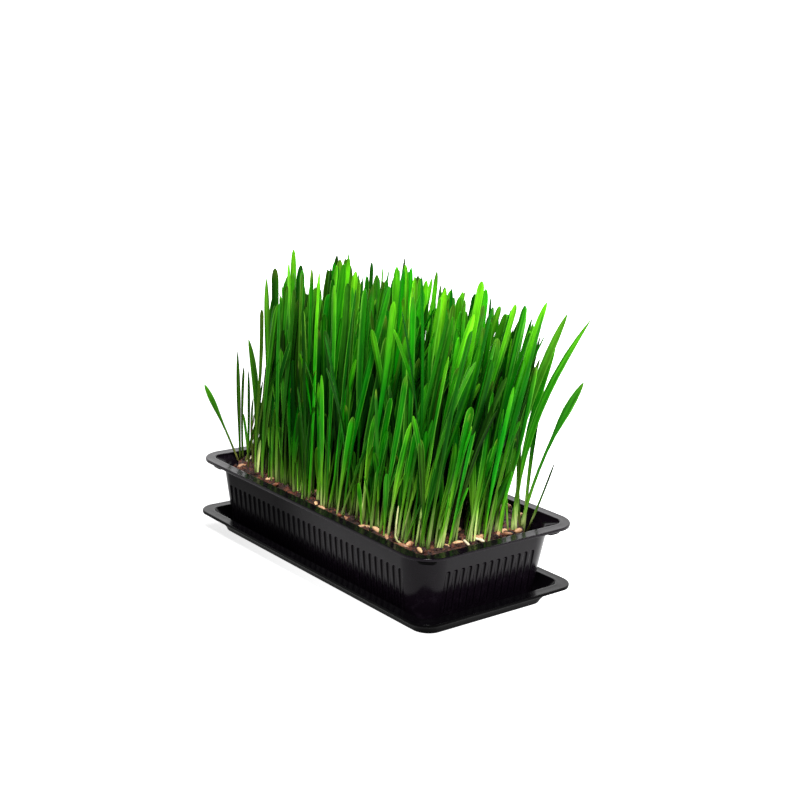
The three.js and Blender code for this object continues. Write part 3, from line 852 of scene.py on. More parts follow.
def leaf(tip_pixel, look, foot=None, via=None, form=(), **more):
    """A leaf that stands apart: the pixel of its tip, its look, and the pixels of its foot and of a place
    that it passes. Its form is its width and its tapered end in mm, and the shares of its length between
    which it widens."""
    tone = look | dict(zip(("width", "tip", "stalk", "open"), form)) | more
    known = {"foot": foot, "via": via}
    return tip_pixel, tone | {key: pixel for key, pixel in known.items() if pixel is not None}


STANDING_OUT = {
    "lone_leaf_left": leaf((204.5, 384.3), LONE_FRESH, (237, 457.5), (217.3, 411.4), (3.7, 11, 0.42, 0.82)),
    "left_pointed": leaf((237.5, 350.5), LONE_OLIVE, (240, 457), (238.7, 400), (2.6, 30, 0.1, 0.6)),
    "left_short": leaf((243.9, 366.4), LONE_OLIVE, (242.8, 458), (242.4, 400), (1.7, 10, 0.3, 0.8)),
    "left_bright": leaf((248.5, 338.6), LONE_FRESH, (251.5, 460), (256, 395), (4.0, 24, 0.2, 0.7)),
    "left_dark": leaf((248.5, 370), LONE_DARK, (248, 459), (248.8, 420), (1.8, 16, 0.2, 0.6)),
    "left_slanting": leaf((243.5, 413.6), LONE_FRESH, (249, 462), (246.6, 438), (1.7, 8, 0.1, 0.5)),
    "left_bent_1": leaf((258, 391), LONE_DARK, (256, 464), (261, 415), (1.5, 14, 0.2, 0.7)),
    "left_bent_2": leaf((263, 380), LONE_DARK, (259, 468), (258, 420), (1.6, 14, 0.2, 0.7)),
    "left_thin_1": leaf((253, 398), LONE_OLIVE, (253, 462), (251.5, 430), (1.5, 10, 0.2, 0.7)),
    "left_thin_2": leaf((257, 420), LONE_OLIVE, (246, 461), (252, 440), (1.4, 8, 0.2, 0.7)),
    "left_pale": leaf(
        (260.5, 440), LONE, (257.5, 473), (258.5, 457), (1.7, 6, 0.0, 0.3), pale=30, light=1.0, reddish=0.0),
    "lone_leaf_right": leaf(
        (592.2, 318), LONE_FRESH, (515, 531), (526, 450), (4.4, 34, 0.1, 0.62),
        stem=1.1, bluntness=0.8, light=0.8, reddish=0.0, dry=0.5),
    "paddle_right": leaf(
        (583.9, 382), LONE, (521.4, 526), (545, 455), (5.8, 17, 0.56, 0.84),
        stem=0.95, lime=0.5, light=0.8, dry=0.3, reddish=0.0),
    "thin_right": leaf((554.7, 462.5), LONE_DARK, (532, 520), (545, 488), (1.3, 8, 0.0, 0.5), reddish=0.0),
    "curl_right": leaf((540.8, 334.7), LONE_DARK, (520, 528), (533.5, 362), (2.4, 22, 0.62, 0.86)),
    "front_right": leaf(
        (556, 341.7), FRESH, (512, 531), (545, 375), (4.2, 14, 0.1, 0.7), stem=1.0, facing=True, light=0.9),
    "crest_right": leaf(
        (567.8, 313.3), FRESH, (500, 534), (543.6, 366.7), (4.8, 22, 0.1, 0.8),
        stem=1.0, facing=True, bluntness=0.68, light=0.85),
    "stalk_right_1": leaf(
        (548, 352), SIDE_ON, (524, 526), (533.5, 440), (3.4, 14, 0.1, 0.8), stem=0.9, light=0.6, lime=0.5),
    "stalk_right_2": leaf(
        (519, 425), DARK | SIDE_ON, (515, 530), (518.5, 470), (2.6, 12, 0.1, 0.8), stem=0.8),
    "crest_18": leaf((547, 302), FRESH | SIDE_ON, (508, 532), (532.5, 341.7), (4.0, 14)),
    "column_left": leaf((267, 278), FRESH | SIDE_ON, None, (267.5, 320), (3.3, 20), bluntness=0.7),
    "brown_left": leaf(
        (262.3, 309), OLIVE | SIDE_ON, None, (260.5, 350), (2.4,), brown=0.8, dry=0.7, light=1.0, olive=0.9),
    "crest_1": leaf((275, 268), PLAIN),
    "crest_2": leaf((288, 263), FRESH),
    "highest": leaf((294, 249), FRESH | SIDE_ON, tip=16),
    "crest_3": leaf((302, 265), PLAIN),
    "crest_4": leaf((320, 273), FRESH),
    "crest_5": leaf((332, 270), FRESH),
    "crest_6": leaf((337, 255), SIDE_ON),
    "crest_7": leaf((349, 252), PLAIN, slim=0.7),
    "crest_8": leaf((356, 271), FRESH),
    "crest_9": leaf((384, 267), FRESH),
    "crest_10": leaf((406, 257), OLIVE, slim=0.6),
    "crest_11": leaf((431, 278), FRESH),
    "crest_12": leaf((437, 271), PLAIN),
    "crest_13": leaf((464, 292), FRESH),
    "crest_14": leaf((483, 281), PLAIN),
    "crest_15": leaf((500, 306), FRESH),
    "crest_21": leaf((372, 262), PLAIN, slim=0.8),
    "crest_22": leaf((395, 273), PLAIN),
    "crest_23": leaf((420, 277), FRESH),
    "crest_24": leaf((450, 290), PLAIN),
    "crest_25": leaf((311, 268), PLAIN, slim=0.8),
    "crest_16": leaf((516, 304), FRESH),
    "crest_17": leaf((526, 305), PLAIN, lime=0.2, light=0.6),
}
# Where the grass ends in the picture: its top from left to right, and its two sides from top to bottom.
SKYLINE = np.array([
    (255, 330), (262, 300), (275, 268), (294, 252), (302, 265), (320, 273), (337, 256), (349, 254),
    (356, 270), (384, 268), (406, 260), (431, 274), (464, 290), (483, 282), (500, 303), (547, 302),
    (568, 314), (592, 318),
])
LEFT_SIDE = np.array([(274, 240), (275, 320), (271, 350), (264, 385), (262, 420), (258, 450), (240, 480)])
RIGHT_SIDE = np.array([
    (545, 300), (550, 330), (546, 350), (537, 380), (529, 405), (522, 430), (518, 470), (516, 530),
])


# ---- leaves ----

SECOND_LEAVES, YOUNG_SHOOTS = 0.7, 0.75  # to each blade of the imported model, as chances
TIP_WANDER = 3.4  # how far a blade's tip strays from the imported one's, sideways
FACING = 0.22  # how far the blades are turned to show their broad side
LOWERED = (0.5, 0.2)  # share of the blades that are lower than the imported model's, in front and behind
LOWERED_DEPTH = (12, 30)  # how far back the one goes over into the other
LOWERED_TO = (0.6, 0.92)  # share of its height that a lowered blade keeps
LEAST_BLADE, LEAST_LEAF = 0.5, 0.4  # share of its height that a blade, and any other leaf, keeps at least
OUTLINE_SPARE = {"top": (2, 26), "left": (0, 8), "right": (0, 10)}  # pixels that tips keep inside the grass
CREST_LEAVES = 110  # the blades added along the top
CREST_FEET = (-88, -42), (84, 44)  # the area where they stand
CREST_HEIGHTS = (60, 148)
CREST_COLUMNS = (277, 562)  # where their tips may lie in the picture
CREST_FOOT_COLUMNS = (262, 516)  # the lean to the right grows from the first of these to the second
CREST_LEAN, CREST_LEAN_SPREAD = 34, 9  # in pixels: the lean at the right end, and how much leans vary
CREST_BOW = 5  # how much their bows vary, in mm
CREST_TOP_SPARE = (3, 34)  # pixels from the skyline down to the tips: the least, and the most over that
SPARSE_DROPPED = 0.95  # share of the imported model's blades left out at the bare corner on the right
TIP_REACH = 14.0  # how many pixels a blade's tip may be moved to stand where the picture shows one
PLANTED = (-98, -48.5), (99, 48.5)  # the area where young shoots stand

# Where a leaf's rings lie, as shares of its untapered length and of its tapered end.
BODY_RINGS = np.array([0.0, 0.05, 0.12, 0.22, 0.35, 0.49, 0.64, 0.79, 0.9])
TIP_RINGS = np.array([0.0, 0.38, 0.66, 0.86, 0.985])
SHEATH_RINGS = 4  # the lowest ones, whose edges are round
ACROSS = np.array([1, 0.62, 0.14, 0, -0.14, -0.62, -1, -0.62, -0.14, 0, 0.14, 0.62])
OUTER = np.array([0, 1, 1, 1, 1, 1, 0, -1, -1, -1, -1, -1])
LEAF_RINGS, LEAF_AROUND = len(BODY_RINGS) + len(TIP_RINGS), len(ACROSS)
LEAF_POINTS = LEAF_RINGS * LEAF_AROUND
LEAF_FACES = np.array(tube_faces(LEAF_RINGS, LEAF_AROUND, capped=False))
MARGIN_COLUMNS = (0, 6)
LEAF_ROOT = 2.4  # how far a leaf goes on down into the soil
SPARSE_REACH = (24.0, 58.0)  # from the bare corners, along both sides together
LEAF_SPARE = 2.0  # between a free leaf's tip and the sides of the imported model's box

SHEATH = colour(224, 232, 160)
STEM = colour(120, 178, 44)
LOW_GREEN = colour(36, 122, 12)
GREEN = colour(14, 134, 6)
BLUE_GREEN = colour(0, 112, 22)
LIME = colour(108, 200, 24)
OLIVE_GREEN = colour(84, 96, 34)
STRAW = colour(170, 190, 70)
BROWN_TIP = colour(34, 44, 14)
REDDISH_SHEATH = colour(116, 74, 44)
REDDISH_STEM = colour(70, 84, 26)
INNER_SHADE = 0.88
RIB_TINT_AND_HIGHLIGHT = np.array([0.05, 0.16, 0.01])  # what a leaf's midrib has over the rest: partly its own paler colour, partly a painted highlight


def side_distance(x, y):
    """How far a place on the soil is from the nearest side."""
    return min(HALF_LENGTH - abs(x), HALF_WIDTH - abs(y))


def front_distance(x, y):
    """How far a place on the soil is from the two sides that face the camera."""
    return min(HALF_LENGTH - x, HALF_WIDTH + y)


def sparseness(x, y):
    """1 at the two bare corners, and 0 where the seedlings stand close together."""
    side = 1 if x > 0 else -1
    inward = (HALF_LENGTH - side * x) + (HALF_WIDTH - side * y)
    return float(1 - smooth(inward, *SPARSE_REACH))


def ring_shares(tone, length):
    """Where along a leaf its rings lie: they crowd towards its rounded tip."""
    tip = min(tone["tip"] / length, 0.4)
    return np.concatenate([BODY_RINGS * (1 - tip), 1 - tip + tip * TIP_RINGS])


def leaf_form(shares, tone, length, base, width, widening, thinning, folding):
    """Half width, fold and half thickness along a leaf, which starts with the half width base. widening are
    the shares between which it widens. thinning has two half thicknesses and the shares between which the
    first goes over into the second. folding has the least fold, what the greatest adds to it, and a power."""
    tip = min(tone["tip"] / length, 0.4)
    over = np.clip((shares - 1 + tip) / tip, 0, 1)
    taper = np.maximum(1 - over ** 2, 0.02) ** tone["bluntness"]
    halves = (base + (width / 2 - base) * smooth(shares, *widening)) * taper
    least, fold, power = folding
    folds = halves * (least + fold * np.sin(np.clip(shares, 0, 1) ** power * math.pi * 0.85))
    thick, thin, *reach = thinning
    return halves, folds, blend(thick, thin, smooth(shares, *reach)) * np.maximum(taper, 0.4)


class Bunch:
    """Gathers leaves into the mesh of one bunch."""

    def __init__(self):
        self.points, self.tints, self.places = [], [], []

    def add(self, middles, turns, form, tints, rises):
        """One leaf: for each ring its middle, its turn, its form (see leaf_form), its colour and its rise."""
        halves, folds, thicks = form
        along = unit(np.gradient(middles, axis=0))
        across = np.stack([np.cos(turns), np.sin(turns), np.zeros_like(turns)], axis=1)
        across = unit(across - along * np.sum(across * along, axis=1)[:, None])
        outward = np.cross(along, across)
        rib = np.exp(-(ACROSS / 0.13) ** 2) * np.clip(OUTER, 0, 1)
        depth = (
            folds[:, None] * (1 - np.abs(ACROSS) ** 1.25)
            + thicks[:, None] * (OUTER * np.sqrt(1 - ACROSS ** 2) + 0.5 * rib)
        )
        points = (
            middles[:, None, :]
            + across[:, None, :] * (halves[:, None] * ACROSS)[:, :, None]
            + outward[:, None, :] * depth[:, :, None]
        )
        # a paler midrib: partly the rib's own colour, partly a painted highlight
        rib_share = rng.uniform(0, 0.6) * np.exp(-(ACROSS / 0.2) ** 2)
        pale = np.minimum(tints * 1.8 + RIB_TINT_AND_HIGHLIGHT, 0.9)
        # painted light and shade on the fold: one half of the leaf lighter than the other
        fold_light_and_shade = 1 + rng.uniform(-0.35, 0.35) * np.tanh(3 * ACROSS)
        shown = blend(tints[:, None, :], pale[:, None, :], rib_share[None, :]) * fold_light_and_shade[None, :, None]
        # how strong the painted highlight along the margins is: weaker on darker leaves
        margin = np.clip(rng.uniform(-0.1, 1.1) * smooth(tints[:, 1], 0.02, 0.16), 0, 1)
        margin = np.broadcast_to(margin[:, None, None], (LEAF_RINGS, LEAF_AROUND, 1))
        place = np.stack([
            np.broadcast_to(ACROSS * halves.max(), (LEAF_RINGS, LEAF_AROUND)),
            np.broadcast_to(rises[:, None], (LEAF_RINGS, LEAF_AROUND)),
            np.full((LEAF_RINGS, LEAF_AROUND), rng.uniform(0, 400)),
        ], axis=2)
        self.points.append(points.reshape(-1, 3))
        self.tints.append(np.concatenate([shown, margin], axis=2).reshape(-1, 4))
        self.places.append(place.reshape(-1, 3))

    def build(self, node, material):
        """The piece that replaces a packed bunch."""
        count = len(self.points)
        starts = np.arange(count) * LEAF_POINTS
        faces = (LEAF_FACES[None] + starts[:, None, None]).reshape(-1, 4).tolist()
        last = LEAF_POINTS - LEAF_AROUND
        for start in starts.tolist():
            faces.append(tuple(range(start + LEAF_AROUND - 1, start - 1, -1)))
            faces.append(tuple(range(start + last, start + LEAF_POINTS)))
        name = node.replace("wheatgrass_bunch", "wheatgrass_leaves")
        piece = make_piece(name, np.concatenate(self.points), faces, material, [node])
        put_attribute(piece, "tint", "FLOAT_COLOR", np.concatenate(self.tints))
        put_attribute(piece, "across", "FLOAT", np.tile(np.abs(ACROSS), LEAF_RINGS * count))
        put_attribute(piece, "leaf_place", "FLOAT_VECTOR", np.concatenate(self.places))
        mark_margins(piece.data)


def mark_margins(mesh):
    """Creases a leaf's two long edges, above its round sheath."""
    ends = np.empty(len(mesh.edges) * 2, np.int32)
    mesh.edges.foreach_get("vertices", ends)
    ends = ends.reshape(-1, 2)
    within, column = ends % LEAF_POINTS // LEAF_AROUND, ends % LEAF_AROUND
    same = (column[:, 0] == column[:, 1]) & np.isin(column[:, 0], MARGIN_COLUMNS)
    crease = same & (within.min(axis=1) >= SHEATH_RINGS) & (within[:, 0] != within[:, 1])
    mesh.attributes.new("sharp_edge", "BOOLEAN", "EDGE").data.foreach_set("value", crease)


def leaf_tints(rise, share, tone):
    """Colour along a leaf: nearly white at the grain, then yellow-green, green, and lime towards the tip, with
    painted light and shade over it.
    """
    shift = tone["pale"]
    stem = blend(STEM, REDDISH_STEM, tone["reddish"])
    limy = np.maximum(smooth(rise, 70, 155), 0.6 * smooth(share, 0.7, 1.0))
    sheath = blend(SHEATH, REDDISH_SHEATH, tone["reddish"])
    shown = blend(sheath, stem, smooth(rise, -2 + 0.5 * shift, 5 + shift))
    for following, reached in (
        (blend(LOW_GREEN, BLUE_GREEN, 0.5 * tone["blue"]), smooth(rise, 4 + shift, 20 + 1.8 * shift)),
        (blend(GREEN, BLUE_GREEN, tone["blue"]), smooth(rise, 16 + shift, 50 + 1.5 * shift)),
        (LIME, tone["lime"] * limy),
        (OLIVE_GREEN, tone["olive"] * smooth(rise, 10, 30)),
    ):
        shown = shown + (following - shown) * reached[:, None]
    # painted light and shade: the leaf's light scales its colour, painted light lifts its foot and its upper
    # part, and painted shade darkens its lower part deep among the others
    light = tone["light"] + tone["lit_foot"] * (1 - tone["light"]) * (1 - smooth(rise, 0, 30))
    light = light * (1 - INNER_SHADE * tone["inner"] * (1 - smooth(rise, 50, 120)))
    shown = shown * (light * (1 + 0.4 * smooth(rise, 75, 135)))[:, None]
    purity = np.clip(shown[:, 1] / 0.3, 0.3, 1.25)
    shown[:, [0, 2]] *= (1 + (purity - 1) * smooth(rise, 25, 60) * (1 - 0.8 * tone["olive"]))[:, None]
    end = blend(STRAW, BROWN_TIP, tone["brown"])
    return shown + (end - shown) * (tone["dry"] * smooth(share, 0.925, 0.985))[:, None]


def redness(x, sparse, chance):
    """How brown a stem is: most at the bare left corner, and a little along the two long sides."""
    return max(sparse * chance * (x < 0), 0.85 * (chance - 0.3) * (1 - smooth(x, 60, 92)))


def draw_tone(x, y):
    """The look of one seedling, which is thinner at the sparse corners. Painted light and shade: its light,
    drawn at random, shows it lit or in shade; its light, lime and lit foot grow towards +X, where the key
    light comes from; and it is darker deep among the others.
    """
    sparse = sparseness(x, y)
    left = smooth(-x, 0, 75)
    pale = rng.uniform(-2, 8) if rng.random() < 0.6 else rng.uniform(8, 27)
    return {
        "pale": pale * (0.55 + 0.45 * smooth(x, 0, 50)),
        "blue": rng.random() ** 1.6,
        "lime": rng.random() ** 1.2 * (0.8 + 0.5 * smooth(x, 20, 95)),
        "light": either((0.15, 0.55), (0.55, 1.2)) * (1 + 0.42 * smooth(x, 35, 90)),
        "dry": 0.0 if rng.random() < 0.7 else rng.uniform(0.2, 0.7),
        "brown": rng.random() ** 0.5,
        "tip": rng.uniform(4, 11),
        "bluntness": rng.uniform(0.45, 0.7),
        "stalk": blend(rng.uniform(0.05, 0.25), rng.uniform(0.3, 0.5), sparse),
        "slim": 1 - (0.45 if x < 0 else 0.6) * sparse,
        "inner": smooth(side_distance(x, y), 4, 20),
        "reddish": redness(x, sparse, rng.uniform(0.3, 1.0)),
        "olive": rng.random() ** (6 - 4.4 * left) * (0.7 + 0.2 * left),
        "lit_foot": 0.05 + 0.3 * smooth(x, 60, 92),
    }


def add_packed_leaf(bunch, blade, tone):
    """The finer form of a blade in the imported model, over the same curve."""
    height = blade["height"]
    width = tone.get("width", blade["width"] * tone["slim"] * rng.uniform(0.78, 1.1))
    shares = ring_shares(tone, height)
    shares[0] = (float(sunk_level(*blade["curve"][2])) - LEAF_ROOT - SOIL_LEVEL) / height
    curve = np.stack([np.polyval(blade["curve"][:, axis], shares) for axis in (0, 1)], axis=1)
    wander = rng.normal(0, 0.5, 2) * np.sin(shares * math.pi * rng.uniform(1.2, 2.4))[:, None]
    if "foot" not in tone:
        curve += wander
    rise = shares * height
    from_camera = (CAMERA_AZIMUTH - blade["turn"] + math.pi / 2) % math.pi - math.pi / 2
    twist = blade["twist"] + rng.normal(0, 0.5)
    turns = blade["turn"] + FACING * from_camera + twist * (shares - blade["turn_share"])
    if tone.get("facing"):
        turns = CAMERA_AZIMUTH + 0.3 * shares
    base = tone.get("stem", rng.uniform(0.5, 0.9) * tone["slim"])
    flat_at = max(rng.uniform(0.3, 0.5), tone["stalk"] + 0.1)
    widest = tone.get("open", tone["stalk"] + rng.uniform(0.4, 0.6))
    form = leaf_form(
        shares, tone, height, base, width,
        widening=(tone["stalk"], widest),
        thinning=(0.85 * base, 0.13, 0.02, flat_at),
        folding=(0.15, rng.uniform(0.3, 0.9), 0.8),
    )
    bunch.add(np.column_stack([curve, SOIL_LEVEL + rise]), turns, form, leaf_tints(rise, shares, tone), rise)


def free_path(foot, lean, height, droops, bends, tone):
    """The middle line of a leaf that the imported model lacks, kept where the picture shows grass. It leans by
    lean (a slope in x and y), more so towards its tip, and may droop."""
    lean, height = kept_within(foot, held_in(foot, lean, height), height)
    droop, bend = rng.uniform(*droops), rng.uniform(*bends)
    shares = ring_shares(tone, height)
    over = lean[None, :] * height * (shares + bend * shares * (shares - 1))[:, None]
    rise = height * (shares - droop * shares ** 3)
    return np.column_stack([foot[:2] + over, foot[2] + rise])


def held_in(foot, lean, height):
    """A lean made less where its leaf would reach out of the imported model's box."""
    low, high = np.array(CAD_BOX)[:, :2] / MM
    return (np.clip(foot[:2] + lean * height, low + LEAF_SPARE, high - LEAF_SPARE) - foot[:2]) / height


def add_free_leaf(bunch, middles, width, turn, twist, fold, tone, sheathed):
    """A leaf over a given line. A sheathed one starts as a round stem, and another from a thin strip."""
    height = middles[-1, 2] - middles[0, 2]
    shares = ring_shares(tone, height)
    base = 0.23 * min(width, 2.6) if sheathed else 0.5
    form = leaf_form(
        shares, tone, height, base, width,
        widening=(0.12 if sheathed else 0.0, 0.75),
        thinning=(0.8 * base if sheathed else 0.3, 0.12, 0.05, 0.45),
        folding=(0.12, fold, 0.7),
    )
    rise = middles[:, 2] - SOIL_LEVEL
    bunch.add(middles, turn + twist * shares, form, leaf_tints(rise, shares, tone), rise)


def add_second_leaf(bunch, blade, tone):
    """The next leaf of the same seedling, which parts from the first some way up."""
    start = rng.uniform(0.12, 0.42)
    height = blade["height"]
    curve = [np.poly1d(blade["curve"][:, axis]) for axis in (0, 1)]
    foot = np.array([curve[0](start), curve[1](start), SOIL_LEVEL + start * height])
    slope = np.array([np.polyder(line)(start) / height for line in curve])
    away = rng.uniform(0, math.tau)
    spread = rng.uniform(0.06, 0.34)
    tall = height * (1 - start) * rng.uniform(0.45, 0.98)
    middles = free_path(foot, slope + spread * heading(away), tall, (0, 0.05), (0.2, 0.7), tone)
    turn = away + math.pi / 2 + rng.normal(0, 0.4)
    width = blade["width"] * rng.uniform(0.65, 0.95)
    add_free_leaf(bunch, middles, width, turn, rng.normal(0, 0.6), rng.uniform(0.15, 0.5), tone, False)


def add_young_shoot(bunch, blade):
    """A thinner, shorter seedling beside a blade."""
    away, step = rng.uniform(0, math.tau), rng.uniform(1.6, 3.2)
    foot = np.array([*blade["curve"][2], SOIL_LEVEL - LEAF_ROOT * 0.5])
    foot[:2] = np.clip(foot[:2] + step * heading(away), *PLANTED)
    tone = draw_tone(foot[0], foot[1])
    tone["pale"] *= 0.8
    height = blade["height"]
    slope = (blade["curve"][0] + blade["curve"][1]) / height
    tall = height * either((0.25, 0.55), (0.55, 0.9))
    lean = slope * rng.uniform(0.0, 1.1) + rng.normal(0, 0.11, 2)
    middles = free_path(foot, lean, tall, (0, 0.04), (0.0, 0.6), tone)
    turn, width = rng.uniform(0, math.tau), rng.uniform(2.2, 4.2)
    add_free_leaf(bunch, middles, width, turn, rng.normal(0, 0.8), rng.uniform(0.2, 0.8), tone, True)


# ---- blades fitted to the picture ----


def picture_limits(tip):
    """By how much a leaf has to be shorter, and moved sideways, to stay where the picture shows grass."""
    x, y = pixel_of(tip)
    top = np.interp(x, *SKYLINE.T) + rng.uniform(*OUTLINE_SPARE["top"])
    lower = max(top - y, 0.0)
    left, right = (np.interp(y + lower, side[:, 1], side[:, 0]) for side in (LEFT_SIDE, RIGHT_SIDE))
    left += rng.uniform(*OUTLINE_SPARE["left"])
    right -= rng.uniform(*OUTLINE_SPARE["right"])
    inside = np.clip(x, left, right)
    return lower * pixel_size(tip), (inside - x) * pixel_size(tip)


def kept_within(foot, lean, height):
    """The lean and height of a leaf that stays where the picture shows grass."""
    lower, sideways = picture_limits(np.array([*(foot[:2] + lean * height), foot[2] + height]))
    height = max(height - lower, height * LEAST_LEAF)
    return lean + RIGHT[:2] * sideways / height, height


def keep_blade_within(blade):
    """Keeps a packed blade where the picture shows grass, and makes some of them lower."""
    lower, sideways = picture_limits(blade_tip(blade))
    share = max(1 - lower / blade["height"], LEAST_BLADE)
    if rng.random() < blend(*LOWERED, smooth(front_distance(*blade["curve"][2]), *LOWERED_DEPTH)):
        share *= rng.uniform(*LOWERED_TO)
    blade["curve"] *= np.array([share ** 2, share, 1.0])[:, None]
    blade["height"] *= share
    blade["curve"][0] += RIGHT[:2] * sideways


def move_tip(blade, pixel):
    tip = blade_tip(blade)
    offset = np.subtract(pixel, pixel_of(tip))
    shift = (RIGHT * offset[0] - UP * offset[1]) * pixel_size(tip)
    blade["curve"][0] += shift[:2]
    blade["height"] += shift[2]


def move_foot(blade, pixel):
    shift = seen_at(pixel, SOIL_LEVEL)[:2] - blade["curve"][2]
    blade["curve"][2] += shift
    blade["curve"][1] -= shift


def bow_blade(blade, sideways):
    """Bows a blade between its foot and tip; sideways is to the right in the picture."""
    blade["curve"] += np.array([-1.0, 1.0, 0.0])[:, None] * (RIGHT[:2] * sideways)


def bend_through(blade, pixel):
    """Bends a blade between its foot and tip so that it passes a pixel."""
    shares = np.linspace(0, 1, 61)
    line = [
        np.array([*(blade["curve"].T @ (share ** 2, share, 1.0)), SOIL_LEVEL + share * blade["height"]])
        for share in shares
    ]
    columns, rows = np.array([pixel_of(point) for point in line]).T
    share = np.interp(pixel[1], rows[::-1], shares[::-1])
    sideways = (pixel[0] - np.interp(share, shares, columns)) * pixel_size(line[30])
    bow_blade(blade, sideways / (share * (1 - share)))


def new_blade(tip_pixel, foot_pixel):
    """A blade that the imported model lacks, upright in the plane through its foot that faces the camera."""
    foot = seen_at(foot_pixel, SOIL_LEVEL)
    tip = upright_at(tip_pixel, foot)
    return {
        "curve": np.array([(0.0, 0.0), tip[:2] - foot[:2], foot[:2]]),
        "height": tip[2] - SOIL_LEVEL,
        "width": 2.0, "turn": 0.0, "twist": 0.0, "turn_share": 0.0,
    }


def plant(blade, blades):
    """Adds a new blade to the bunch that has the nearest seedling."""
    foot = blade["curve"][2]
    home = min(BUNCHES, key=lambda node: min(math.dist(foot, other["curve"][2]) for other in blades[node]))
    blades[home].append(blade)


def fill_crest(blades):
    """More blades whose tips lie just under the top of the grass in the picture."""
    made = 0
    while made < CREST_LEAVES:
        foot = rng.uniform(*CREST_FEET)
        foot_pixel = np.array(pixel_of((*foot, SOIL_LEVEL)))
        first, last = CREST_FOOT_COLUMNS
        share = np.clip((foot_pixel[0] - first) / (last - first), 0, 1)
        lean = CREST_LEAN * share + rng.normal(0, CREST_LEAN_SPREAD)
        column = np.clip(foot_pixel[0] + lean, *CREST_COLUMNS)
        least, over = CREST_TOP_SPARE
        row = np.interp(column, *SKYLINE.T) + least + over * rng.random() ** 1.3
        blade = new_blade((column, row), foot_pixel)
        if not CREST_HEIGHTS[0] < blade["height"] < CREST_HEIGHTS[1] or sparseness(*foot) > 0.1:
            continue
        bow_blade(blade, rng.normal(0, CREST_BOW))
        # their light varies at random as painted light and shade
        blade |= {"width": rng.uniform(3.4, 5.2), "turn": rng.uniform(0, math.pi), "own_tone": {
            "tip": rng.uniform(5, 13), "bluntness": rng.uniform(0.45, 0.72), "light": rng.uniform(0.5, 1.3)}}
        plant(blade, blades)
        made += 1


def meet_tips(blades):
    """Bends the blades nearest to the leaves that stand out in the picture so that they lie there."""
    free = [blade for bunch in blades.values() for blade in bunch]
    named = []
    for pixel, own_tone in STANDING_OUT.values():
        away = [math.dist(pixel, pixel_of(blade_tip(blade))) for blade in free]
        nearest = int(np.argmin(away))
        if away[nearest] < TIP_REACH:
            blade = free.pop(nearest)
        elif "foot" in own_tone:
            blade = new_blade(pixel, own_tone["foot"])
            plant(blade, blades)
        else:
            continue
        blade["own_tone"] = own_tone
        named.append((blade, pixel))
    for blade in free:
        blade["curve"][0] += rng.normal(0, TIP_WANDER, 2)
        keep_blade_within(blade)
    for blade, pixel in named:
        move_tip(blade, pixel)
        if "foot" in blade["own_tone"]:
            move_foot(blade, blade["own_tone"]["foot"])
        if "via" in blade["own_tone"]:
            bend_through(blade, blade["own_tone"]["via"])


def grow_grass(material):
    blades = {node: read_blades(node) for node in BUNCHES}
    meet_tips(blades)
    fill_crest(blades)
    for node in BUNCHES:
        bunch = Bunch()
        for blade in blades[node]:
            foot = blade["curve"][2]
            sparse = sparseness(*foot)
            droppable = foot[0] > 0 and "own_tone" not in blade
            if droppable and rng.random() < SPARSE_DROPPED * smooth(sparse, 0, 0.5):
                continue
            tone = draw_tone(*foot) | blade.get("own_tone", {})
            add_packed_leaf(bunch, blade, tone)
            crowded = (1 - sparse) * ("foot" not in tone)
            if rng.random() < SECOND_LEAVES * crowded:
                add_second_leaf(bunch, blade, tone)
            if rng.random() < YOUNG_SHOOTS * crowded:
                add_young_shoot(bunch, blade)
        bunch.build(node, material)


# ---- grains, crumbs and withered stems ----

GRAINS, CRUMBS = 85, 900
GRAIN_LENGTHS, GRAIN_PLUMPNESS = (5.6, 6.9), (0.42, 0.52)  # in mm, and the width as a share of the length
CRUMB_SIZES = (1.2, 3.6)
NEAR_RIM, NEAR_LONG_SIDE = 0.5, 0.62  # share that lies near the rim, and share of those by the long sides
LONG_SIDE_BAND, SHORT_SIDE_BAND = (2.5, 8), (3, 9)  # how far from its side such a place lies
LENGTH_SPARE, WIDTH_SPARE, CORNER_SPARE = 4, 3, 3.5  # how far from the sides the others stay
LOWEST_PLACE = 2  # how far below the soil's level a place may lie
GRAIN_RINGS, GRAIN_AROUND = 9, 10
GRAIN_TAN, GRAIN_BROWN = colour(240, 196, 146), colour(104, 50, 30)
CRUMB_RINGS, CRUMB_AROUND = 6, 8
WITHERED, CREAM, PALE_STEM = colour(30, 40, 14), colour(248, 236, 200), colour(196, 206, 140)
# Withered and broken stems: the colour, the width in mm and the pixels that each passes, from its foot up.
STRANDS = {
    "withered_1": (WITHERED, 1.1, (
        (256, 463), (255, 450), (257.5, 441), (260.5, 435.5), (257, 429),
        (260, 419), (262, 408), (259, 398), (256.5, 388))),
    "withered_2": (WITHERED, 0.9, (
        (253, 462), (254.5, 450), (254.5, 440), (251.5, 431), (253.5, 421), (254, 414))),
    "withered_3": (WITHERED, 0.8, (
        (259, 467), (262, 455), (264, 440), (261, 424), (262, 402), (264.5, 390))),
    "sprout_left": (CREAM, 1.2, ((247, 461.5), (250, 459), (253, 454.5))),
    "bent_front": (PALE_STEM, 1.25, ((401, 543.5), (397, 541), (395.3, 536), (396.5, 522), (398.5, 506))),
}
# Bits that lie on the soil: the pixels of their ends, and the width in mm.
BROKEN_BITS = {"bit_1": ((474, 537.5), (484.5, 541.5), 1.9), "bit_2": ((464, 540.5), (469, 545), 1.7)}
STRAND_AROUND = 6


